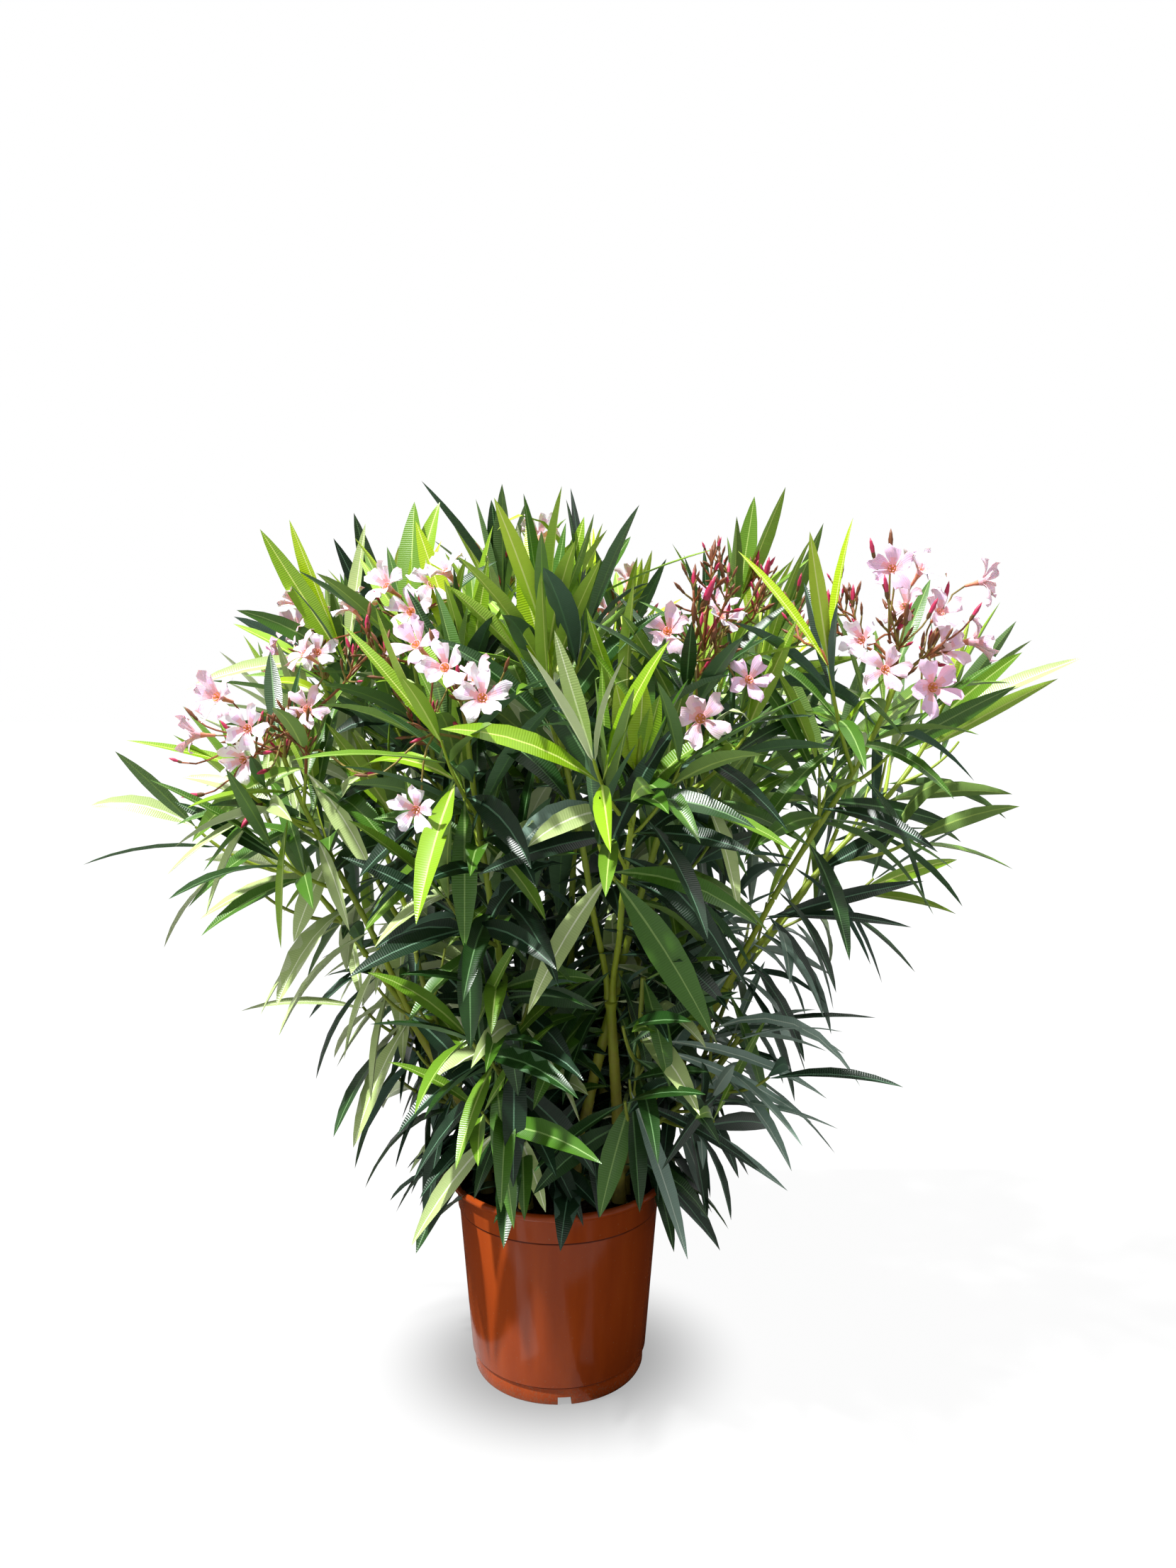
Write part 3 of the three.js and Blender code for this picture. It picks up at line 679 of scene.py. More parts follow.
# flower heads
# Where each flowering shoot ends in a head, as a share of its twig, and how many open blossoms
# and buds grow there. Heads that show their faces have a place, a bearing and a rise for each blossom.
flowerHeads = {
    "foliage_02": (0.86, 1, 7), "foliage_03a": (0.84, 0, 5), "foliage_05": (0.96, 0, 9),
    "foliage_06a": (0.94, 0, 9), "foliage_07": (0.9, 3, 6), "foliage_08": (0.86, 7, 6),
    "foliage_09b": (0.74, 6, 7), "foliage_10": (0.93, 2, 4), "foliage_11b": (0.84, 3, 4),
    "foliage_12": (0.88, 1, 6), "foliage_13b": (0.8, 1, 4), "foliage_14": (0.82, 1, 3),
}
facingBlossoms = {
    "foliage_02": [
        (114, -235, 883, -100, 16), (195, -232, 836, -80, 20), (144, -262, 798, -92, 6),
        (168, -165, 918, -50, 40),
    ],
    "foliage_03a": [
        (338, -215, 946, -112, 8), (375, -190, 948, -60, 48), (446, -170, 938, -28, 12),
        (360, -178, 912, -140, 30), (392, -200, 905, -75, 30), (311, -205, 876, -128, 12),
        (330, -228, 846, -95, 10), (374, -235, 828, -84, 4), (400, -185, 866, -55, 22),
        (434, -170, 876, -15, 6),
    ],
    "foliage_11b": [(-322, 40, 902, -120, 24), (-290, 20, 872, -80, 18), (-345, 45, 866, -150, 8)],
    "foliage_12": [(-160, -86, 912, -96, 14), (-188, -70, 940, -130, 26), (-140, -62, 944, -70, 30)],
    "foliage_13b": [
        (-352, -160, 818, -118, 14), (-318, -176, 786, -88, 10), (-384, -140, 778, -160, 2),
        (-330, -150, 752, -110, -6), (-262, -150, 806, -84, 20),
    ],
    "foliage_14": [
        (-98, -286, 846, -104, 18), (-62, -300, 818, -84, 12), (-128, -262, 868, -120, 30),
        (-128, -282, 712, -92, 0),
    ],
}
facingBuds = {
    "foliage_02": [(160, -222, 880), (176, -215, 905), (208, -190, 930), (140, -230, 900)],
    "foliage_03a": [
        (340, -200, 972), (322, -200, 966), (331, -222, 924), (350, -225, 898), (376, -222, 904),
        (396, -222, 884), (430, -190, 904), (400, -190, 922),
    ],
    "foliage_13b": [(-405, -150, 752), (-300, -180, 742), (-395, -120, 800)],
    "foliage_14": [(-190, -240, 742), (-40, -285, 850), (-110, -280, 872)],
}
# sprays of buds alone, by the places of their tops
budSprays = [
    (-196, -155, 884), (-212, -150, 858), (-176, -160, 862), (-283, -150, 796), (-304, -150, 780),
    (-262, -155, 782), (-125, -178, 792), (-150, -170, 800), (158, -222, 948), (174, -220, 926),
    (140, -225, 924), (196, 40, 980), (243, -20, 946), (232, -30, 926), (266, -90, 902),
    (310, -100, 932), (298, -105, 910), (324, -110, 916),
]
# buds about to open, each with its place and the way it points
plumpBuds = [
    ((-385, -115, 712), (-0.9, -0.3, -0.1)),
    ((-318, -130, 704), (-0.3, -0.6, -0.5)),
    ((-198, -170, 738), (0.8, -0.6, 0.1)),
    ((236, -60, 948), (0.1, -0.3, 0.9)),
    ((148, -226, 905), (0.3, -0.4, 0.8)),
]
panicle = {"stalk": 46, "spray": 42, "rings": 3, "ringBuds": 3, "radius": (1.9, 1.2)}
head = {
    "peduncle": 26,
    "sunk": 6,  # of the peduncle, into the shoot
    "reach": (60, 128),  # from the shoot's end to a blossom
    "budShare": 0.66,  # of that to a bud
    "splay": (8, 52), "perBranch": 4, "nodeBuds": 4, "topBuds": 5,
    "node": 0.58,  # share of the way to its blossoms at which a branch divides
    "peduncleRadius": (2.2, 1.5), "stalkRadius": (1.9, 1.4), "pedicelRadius": (1.25, 0.95),
    "apart": 25,  # the least from blossom to blossom
    "margin": 22,  # by which blossoms stay within the leaves' box
}
blossom = {
    "petals": 5, "petalLength": 25, "petalWidth": 17.5, "tube": 20, "throat": 5.4, "sides": 10,
    "size": (0.9, 1.12),
    "opening": (30, 80),  # the petals' angle from the tube, at the throat and at the tips
    "ruffle": 3.6, "cup": (-0.25, 0.5), "notch": 3.4,
    "lean": 0.42,  # to one side, which gives the blossom its pinwheel turn
    "thick": 0.4, "rows": 6, "columns": 5,
    "openTo": 110,  # how far in front of a blossom no leaf grows across
}
petalWidths = [0.3, 0.5, 0.76, 0.97, 1.0, 0.66]
# the tube from its foot to its mouth and back inside: share of its length and radius
tubeProfile = [(0, 1.7), (0.45, 2.04), (0.75, 3.348), (1.06, 5.4), (1.06, 4.7), (0.72, 2.16)]
petalSlots = {"pink": 1, "streak": 3, "tube": 4, "throat": 5}  # 0 to 2 are the shades of whole petals
fringeFaces = [(0, 1, 2), (1, 3, 2), (3, 0, 2), (1, 0, 3)]
tubeSlots = ["tube", "tube", "streak", "streak", "throat"]
bud = {
    "length": (12, 27), "radius": (1.8, 2.9), "sides": 6, "twist": 1.2,
    "youngShare": 0.35, "smallShare": 0.8,  # of the large and of the small ones that are still brown
}
budProfile = [(0, 0.5), (0.14, 0.8), (0.3, 0.74), (0.55, 1), (0.8, 0.6)]
calyx = 2  # the slot of a bud's lowest rings

stalkPile, blossomPile, budPile = newPile(), newPile(), newPile()
blossomCentres, blossomFacings = [], []
headLines = [], []


def addPetal(mouth, facing, out, size, seed, shade):
    # a thin shell of rows from the throat to the broad tip, cupped and ruffled at its margin
    rows, columns = blossom["rows"], blossom["columns"]
    side = np.cross(facing, out)
    point = mouth + out * blossom["throat"] * 0.8 * size
    step = blossom["petalLength"] * size * mix(0.9, 1.08, chance(seed, 1)) / (rows - 1)
    opening = (blossom["opening"][0], blossom["opening"][1] + 74 * (chance(seed, 2) - 0.45))
    cup, phase = mix(*blossom["cup"], chance(seed, 3)), 6 * chance(seed, 4)
    lean = blossom["lean"] * mix(0.4, 1.5, chance(seed, 6))
    front, back, uvs = [], [], []
    for row in range(rows):
        along = row / (rows - 1)
        angle = mix(*opening, along**0.8)
        if row:
            point = point + aim(facing, out, angle) * step
        inward = aim(facing, -out, 90 - angle)
        half = blossom["petalWidth"] / 2 * size * petalWidths[row]
        for column in range(columns):
            across = column / (columns - 1) * 2 - 1
            wave = blossom["ruffle"] * along**2 * math.sin(3.4 * across + phase) * size
            notch = blossom["notch"] * size * max(0, 0.9 - across) ** 1.4 * (row == rows - 1)
            place = point + side * (half * (across + lean * along)) - aim(facing, out, angle) * notch
            place = place + inward * (cup * half * across**2 + wave)
            front.append(place)
            back.append(place - inward * blossom["thick"])
            uvs.append((half * across, along * step * rows))
    count = rows * columns
    faces, slots = [], []
    for row in range(rows - 1):
        for column in range(columns - 1):
            a = row * columns + column
            quad = (a, a + columns, a + 1 + columns, a + 1)
            faces += [quad, tuple(corner + count for corner in quad[::-1])]
            middle = 0 < column < columns - 2
            slot = shade
            if row == 0 or (row == 1 and middle):
                slot = petalSlots["streak"]
            elif row == 2 and middle:
                slot = petalSlots["pink"]
            slots += [slot] * 2
    edge = [*range(columns), *range(2 * columns - 1, count, columns)]
    edge += [*range(count - 2, count - columns - 1, -1), *range((rows - 2) * columns, 0, -columns)]
    faces += [(here, after, after + count, here + count) for here, after in zip(edge, edge[1:] + edge[:1])]
    pileUp(blossomPile, front + back, faces, slots + [shade] * len(edge), uvs + uvs)


def addBlossom(root, facing, seed):
    size, sides = mix(*blossom["size"], chance(seed, 3)), blossom["sides"]
    mouth = root + facing * blossom["tube"] * size
    blossomCentres.append(mouth)
    blossomFacings.append(facing)
    verts = ringPoints(root, facing, blossom["tube"] * size, size, tubeProfile, sides)
    faces = ringFaces(len(tubeSlots), sides)
    faces += [tuple(range(sides))[::-1], tuple(range(len(verts) - sides, len(verts)))]
    slots = [petalSlots[part] for part in tubeSlots for side in range(sides)]
    pileUp(blossomPile, verts, faces, slots + [petalSlots["tube"], petalSlots["throat"]])
    start, shade = 360 * chance(seed, 5), int(3 * chance(seed, 4))
    for k in range(blossom["petals"]):
        out = spoke(facing, start + 360 * k / blossom["petals"] + 9 * (chance(seed, 6 + k) - 0.5))
        side = np.cross(facing, out)
        addPetal(mouth, facing, out, size, seed * 11 + k, shade)
        # the fringe at the mouth of the throat
        foot = mouth + out * blossom["throat"] * 0.5 * size
        fringe = [foot - side * 1.3, foot + side * 1.3, foot + facing * 5 + out * 1.2, foot - out * 1.2]
        pileUp(blossomPile, fringe, fringeFaces, [petalSlots["streak"]] * len(fringeFaces))


def addBud(root, direction, seed, size=1):
    length, radius = [mix(*bud[key], chance(seed, 1)) * size for key in ("length", "radius")]
    young = int(chance(seed, 71) < bud["youngShare" if size >= 1 else "smallShare"])
    sides, rings = bud["sides"], len(budProfile) - 1
    verts = ringPoints(root, direction, length, radius, budProfile, sides, bud["twist"])
    last = len(verts) - sides
    faces = ringFaces(rings, sides)
    faces += [(last + k, last + (k + 1) % sides, len(verts)) for k in range(sides)]
    faces.append(tuple(range(sides))[::-1])
    slots = [calyx] * sides * 2 + [young] * sides * (rings - 1) + [calyx]
    pileUp(budPile, verts + [root + direction * length], faces, slots)


def addStalk(start, direction, end, endDirection, radii, rings=5, slot=None):
    curve = bow(start, direction, end, endDirection, 12)
    if slot is None:
        slot = int(chance(round(end[0])) * 2)
    addTube(stalkPile, curve, lambda share, angle: mix(*radii, share), 5, rings, slot)
    return curve


def addBudRing(place, axis, seed, count, splay):  # small buds close together where branches part
    for k in range(count):
        direction = aim(axis, spoke(axis, 360 / count * k + 20 + 40 * chance(seed)), splay)
        foot = place + direction * mix(8, 17, chance(seed, k + 50))
        addStalk(place, axis, foot, direction, head["pedicelRadius"])
        addBud(foot, direction, seed + k, mix(0.6, 0.95, chance(seed, k + 60)))


def growPanicle(top, seed):  # a spray of buds that rises from the nearest shoot below its top
    foot = nearestShoot(top, allPoints[allPoints[:, 2] < top[2] - panicle["stalk"]])
    curve = addStalk(foot, blend(unit(top - foot), up, 0.5), top, up, panicle["radius"], 6, 0)
    rise = panicle["spray"] / curve["length"]
    for ring in range(panicle["rings"]):
        at = 1 - rise * ring / panicle["rings"]
        place, axis = pointAt(curve, at), tangentAt(curve, at)
        addBudRing(place, axis, seed * 13 + ring * 5, panicle["ringBuds"], 24 + 9 * ring)
    addBud(top, up, seed)


def growPlumpBud(place, way, seed):
    foot = nearestShoot(place)
    addStalk(foot, blend(unit(place - foot), up, 0.4), place, way, head["pedicelRadius"])
    addBud(place, way, seed, 1.55)


def growHead(mass, share, blossoms, buds):
    # every blossom and bud has a place, near ones share a branch, and each branch divides at a node
    seed = mass["number"] * 17 + 5
    root, axis = pointAt(mass["curve"], share), blend(tangentAt(mass["curve"], share), up, 0.2)
    outward = unit(np.array([root[0], root[1], 0.0]))
    top = root + axis * head["peduncle"]
    addStalk(root - axis * head["sunk"], axis, top, axis, head["peduncleRadius"])
    ends = []
    for x, y, z, bearing, rise in facingBlossoms.get(mass["name"], []):
        facing = unit(polar(bearing, math.cos(rise * degrees), math.sin(rise * degrees)))
        ends.append((np.array([x, y, z]), facing, True))
    ends += [(np.array(place), None, False) for place in facingBuds.get(mass["name"], [])]
    for k in range(blossoms + buds):
        opens, turn = k < blossoms, goldenAngle * k + 90 * chance(seed)
        direction = aim(axis, spoke(axis, turn), mix(*head["splay"], chance(seed, k + 3)))
        reach = mix(*head["reach"], chance(seed, k + 33))
        place = top + direction * reach * (1 if opens else head["budShare"])
        facing = blend(blend(direction, outward, 0.55), spoke(direction, 360 * chance(seed, k + 63)), 0.2)
        ends.append((place, facing, opens))
    low, high = boxLow + head["margin"], boxHigh - head["margin"]
    ends = [end for end in ends if np.all(end[0] > low) and np.all(end[0] < high)]
    if mass["name"] in facingBlossoms:
        headLines[0].append(root)
        headLines[1].append(sum(end[0] for end in ends) / len(ends))
    across = spoke(axis, 0)
    ends.sort(key=lambda end: math.atan2((end[0] - top) @ np.cross(axis, across), (end[0] - top) @ across))
    for first in range(0, len(ends), head["perBranch"]):
        branch = ends[first : first + head["perBranch"]]
        middle = sum(end[0] for end in branch) / len(branch)
        node = mix(top, middle, head["node"])
        heading = unit(middle - top)
        addStalk(top, blend(axis, heading, 0.5), node, heading, head["stalkRadius"])
        addBudRing(node, heading, seed * 9 + first, head["nodeBuds"], 38)
        for k, (place, facing, opens) in enumerate(branch):
            away = unit(place - node)
            opens = opens and all(np.linalg.norm(place - other) > head["apart"] for other in blossomCentres)
            rising = facing if opens else blend(away, up, 0.35)
            foot = place - rising * (blossom["tube"] if opens else 9)
            addStalk(node, blend(heading, away, 0.6), foot, rising, head["pedicelRadius"])
            if opens:
                addBlossom(foot, facing, seed * 3 + first + k)
            else:
                addBud(foot, rising, seed * 5 + first + k)
    addBudRing(top, axis, seed * 7, head["topBuds"], 34)


for mass in masses:
    if mass["name"] in flowerHeads:
        growHead(mass, *flowerHeads[mass["name"]])
for seed, place in enumerate(budSprays):
    growPanicle(np.array(place, float), seed + 900)
for seed, (place, way) in enumerate(plumpBuds):
    growPlumpBud(np.array(place, float), unit(np.array(way)), seed + 1000)
print("blossoms:", len(blossomCentres))
# lines that no leaf comes near: in front of each blossom, and up the middle of the open flower heads
inFront = np.array(blossomCentres) + np.array(blossomFacings) * blossom["openTo"]
openStarts = np.concatenate([blossomCentres, headLines[0]])
openEnds = np.concatenate([inFront, headLines[1]])

# Petals: thin, moist skins that scatter light, with a fine vein from throat to tip about every 2 mm.
petalLook = {"Roughness": 0.55, "Subsurface_Weight": 0.2, "Subsurface_Scale": 0.003, "Sheen_Weight": 0.15}
petalColours = {
    "petalPale": "#fdebf5", "petalPink": "#f2c8e4", "petalWarm": "#f8d3e2", "petalStreak": "#f5b8c2",
    "blossomTube": "#e39070", "blossomThroat": "#f3bb70",
}
petalSkins = [finishOf(name, colour, **petalLook) for name, colour in petalColours.items()]
petalSkins = [veined(skin, "X", 170, 3, 0.35, 0.3) for skin in petalSkins]
meshFrom("blossoms", blossomPile, petalSkins, 70)

# Buds are furled petals, dark and satiny; stalks and calyxes are dry and rust brown.
budSkins = [("budCrimson", "#bf2f58", 0.4), ("budYoung", "#7d4a2c", 0.5), ("calyxRust", "#6b4a24", 0.55)]
stalkSkins = [("stalkRust", "#8d4f2a", 0.5), ("stalkOlive", "#8c7a3a", 0.5)]
for piece, pile, skins in (("buds", budPile, budSkins), ("flower_stalks", stalkPile, stalkSkins)):
    skins = [addGrain(finishOf(name, colour, Roughness=rough), 2.5, 0.4) for name, colour, rough in skins]
    meshFrom(piece, pile, skins, 70)

# leaves
leaf = {
    "length": 160, "width": 22,
    "rightBreadth": 0.78,  # the leaves on the right are narrower
    "size": (0.8, 1.1),
    "lastSize": 0.88,  # of the whorl at a twig's tip
    "perWhorl": 3, "turned": 30, "mainSpan": (0.04, 0.99), "sideSpan": (0.3, 0.98), "whorlSpacing": 40,
    "baseAngle": 98, "tipAngle": 14, "lowAngle": 120, "lowAge": 0.8, "baseDroop": 0.85,
    "tipDroop": 0.04,
    "ribGap": 8.5,  # between the ribs of two leaves, away from their roots
    "blossomGap": 20, "longest": 200,
    "oldBreadth": 1.42,  # the oldest leaves' width beside the youngest ones'
    "waist": 0.46,  # share of its length at which a leaf starts to droop
    "edge": 9,  # from the rib to where a leaf's margin is tried for room
    "curl": (-0.05, 0.3), "twist": (-26, 26), "fold": (0.3, 1.5),
}
thinShare = {  # of the leaves left out, where sky shows through
    "foliage_03a": 0.3, "foliage_03b": 0.8, "foliage_04": 0.62, "foliage_06b": 0.25,
    "foliage_low_03": 0.5, "foliage_low_04": 0.62, "foliage_low_06": 0.55, "foliage_low_11": 0.45,
    "foliage_low_13a": 0.72, "foliage_low_13b": 0.76, "foliage_11a": 0.5, "foliage_13a": 0.8,
    "foliage_13b": 0.3,
}
tipRosette = {
    "whorls": 2, "span": (0.93, 1.0), "angle": (4, 26), "size": (0.82, 1.1), "droop": 0.03,
    "age": 1.3,  # beyond a twig's tip, so that the youngest leaves are the brightest
}
bareTips = {  # where the leaves stop below the tip
    "foliage_01b": 0.8, "foliage_02": 0.93, "foliage_03a": 0.84, "foliage_05": 0.93,
    "foliage_06a": 0.93, "foliage_13b": 0.9, "foliage_15": 0.93,
}
# by how many degrees a leaf is tilted and what its size is, in each try to find room for it
leafTries = [(0, 1), (12, 1), (-12, 1), (26, 0.96), (-26, 0.96)]
leafTries += [(0, 0.84), (40, 0.86), (-40, 0.8), (0, 0.68)]

leafGreens = [
    ("leafBright", "#abca1c", "#e2ec90", "#b9d63c"),
    ("leafFresh", "#84ac1c", "#cbdc72", "#98bc3c"),
    ("leafMid", "#668f24", "#a5bf62", "#7a9a4c"),
    ("leafFull", "#436e1c", "#7fa054", "#64854c"),
    ("leafDeep", "#1f4115", "#5f8552", "#4d6e4a"),
    ("leafBlue", "#152f1a", "#577b60", "#486453"),
    ("leafPale", "#afc37e", "#e8efcc", "#c3d09f"),
    ("leafGrey", "#769081", "#b4c4b4", "#93a79b"),
]
greenNumber = {name: number for number, (name, *colours) in enumerate(leafGreens)}
leafMaterials = []
for name, *colours in leafGreens:
    for part, colour in zip(("Top", "Rib", "Under"), colours):
        # a leathery cuticle: waxy on top, dull beneath, with a side vein square to the rib every 2.5 mm
        material = finishOf(name + part, colour, Roughness=0.33 if part == "Top" else 0.55)
        leafMaterials.append(veined(material, "Y", 125, 1.5, 0.3, 0.4))

# Stems and shoots on the front that stay in sight: no leaf hangs across them.
bareFront = {
    "limbs": ["stem_01", "stem_03", "bough_01a", "bough_01b", "bough_03a", "bough_13b", "stem_13"],
    "shoots": ["foliage_01a", "foliage_01b"],
    "width": 13, "shootShare": 0.55,
}
bareLines = [limb["curve"]["points"] for limb in limbs if limb["name"] in bareFront["limbs"]]
for mass in masses:
    if mass["name"] in bareFront["shoots"]:
        line = mass["curve"]["points"]
        bareLines.append(line[: int(len(line) * bareFront["shootShare"])])


def hangsAcross(points):
    for line in bareLines:
        for point in points:
            if not line[0][2] < point[2] < line[-1][2]:
                continue
            near = line[np.argmin(np.abs(line[:, 2] - point[2]))]
            if point[1] < near[1] and abs(point[0] - near[0]) < bareFront["width"]:
                return True
    return False


ribPoints = np.zeros((20000, 3))
ribCount = 0
ribMarks = 4  # points that stand for a leaf's rib
leafPiles = {side: newPile() for side in ("right", "back", "left", "front")}


def pileAt(point):  # the pile for the side of the plant that a point is on
    bearing = math.degrees(math.atan2(point[1], point[0]))
    return list(leafPiles.values())[round(bearing / 90) % 4]


def noteRib(marks):
    global ribCount
    ribPoints[ribCount : ribCount + ribMarks] = marks
    ribCount += ribMarks


def layLeaf(pile, owner, root, direction, side, size, droop, green, seed, breadth=1):
    # lays the first of a few tries that has room
    for tilt, scale in leafTries:
        tilted = unit(turned(direction, side, tilt))
        length = leaf["length"] * size * scale
        waist = tilted * length * leaf["waist"]
        fall = unit(tilted - up * droop)
        tip = root + waist + fall * length * (1 - leaf["waist"])
        marks = np.array([root + waist * 0.5, root + waist, mix(root + waist, tip, 0.5), tip])
        aside = side * leaf["edge"]
        places = np.concatenate([marks, marks[:3] + aside, marks[:3] - aside])
        if not hasRoom(places, owner, room["strayIn"]) or hangsAcross(places):
            continue
        ribGaps = np.linalg.norm(marks[:, None] - ribPoints[:ribCount], axis=2)
        if ribGaps.min(initial=leaf["longest"]) < leaf["ribGap"]:
            continue
        if distancesTo(places, openStarts, openEnds).min() < leaf["blossomGap"]:
            continue
        noteRib(marks)
        width = leaf["width"] * breadth * size * mix(0.86, 1.12, chance(seed, 11)) * scale**0.5
        width *= mix(1, leaf["rightBreadth"], min(1, max(0, (root[0] - 40) / 140)))
        blade = {"root": root, "direction": tilted, "side": side, "normal": np.cross(tilted, side)}
        blade |= {"length": length, "width": width, "droop": droop}
        for draw, way in ((12, "curl"), (13, "twist"), (14, "fold")):
            blade[way] = mix(*leaf[way], chance(seed, draw))
        layBlade(pile, blade, green)
        return


greening = {
    "from": 300, "over": 700,  # the height above which leaves get lighter, partly painted light from above, and how far up
    "byHeight": 0.47, "byAge": 0.2, "byChance": 0.84, "grades": 5.6,
    "brightFrom": 740,
    "pale": 0.05,  # the share of pale leaves anywhere
    "sunlitPaintTo": (-170, 800),  # the flank in the sun, painted paler and lighter: how far from the left, and how far up
    # painted sunlight on that flank: the height between its lower and upper leaves, the shares of pale leaves
    # below and above it, and the light added
    "sunlitPaintMiddle": 600, "sunlitPaintShares": (0.66, 0.34), "sunlitPaintLight": 0.2,
    "greyFrom": (140, 560),  # the shaded flank: how far to the right, and below which height
    "grey": 0.5,
}


def greenOf(place, age, seed):
    # bright at the tips high up, full green below them, deep and bluish near the pot: partly the leaves' age,
    # partly painted light from above and painted shade low in the crown
    x, z = place[0], place[2]
    light = (z - greening["from"]) / greening["over"] * greening["byHeight"] + greening["byAge"] * age
    light += greening["byChance"] * (chance(seed, 21) - 0.5)
    pale = greening["pale"]
    # painted sunlight: leaves low on the left flank are paler and lighter
    if x < greening["sunlitPaintTo"][0] and z < greening["sunlitPaintTo"][1]:
        pale = greening["sunlitPaintShares"][int(z > greening["sunlitPaintMiddle"])]
        light += greening["sunlitPaintLight"]
    if chance(seed, 22) < pale:
        return greenNumber["leafPale"]
    if x > greening["greyFrom"][0] and z < greening["greyFrom"][1] and chance(seed, 23) < greening["grey"]:
        return greenNumber["leafGrey"]
    deepest = greenNumber["leafBlue"]
    brightest = greenNumber["leafBright" if z > greening["brightFrom"] else "leafFresh"]
    return max(deepest - min(deepest, max(0, int(light * greening["grades"]))), brightest)


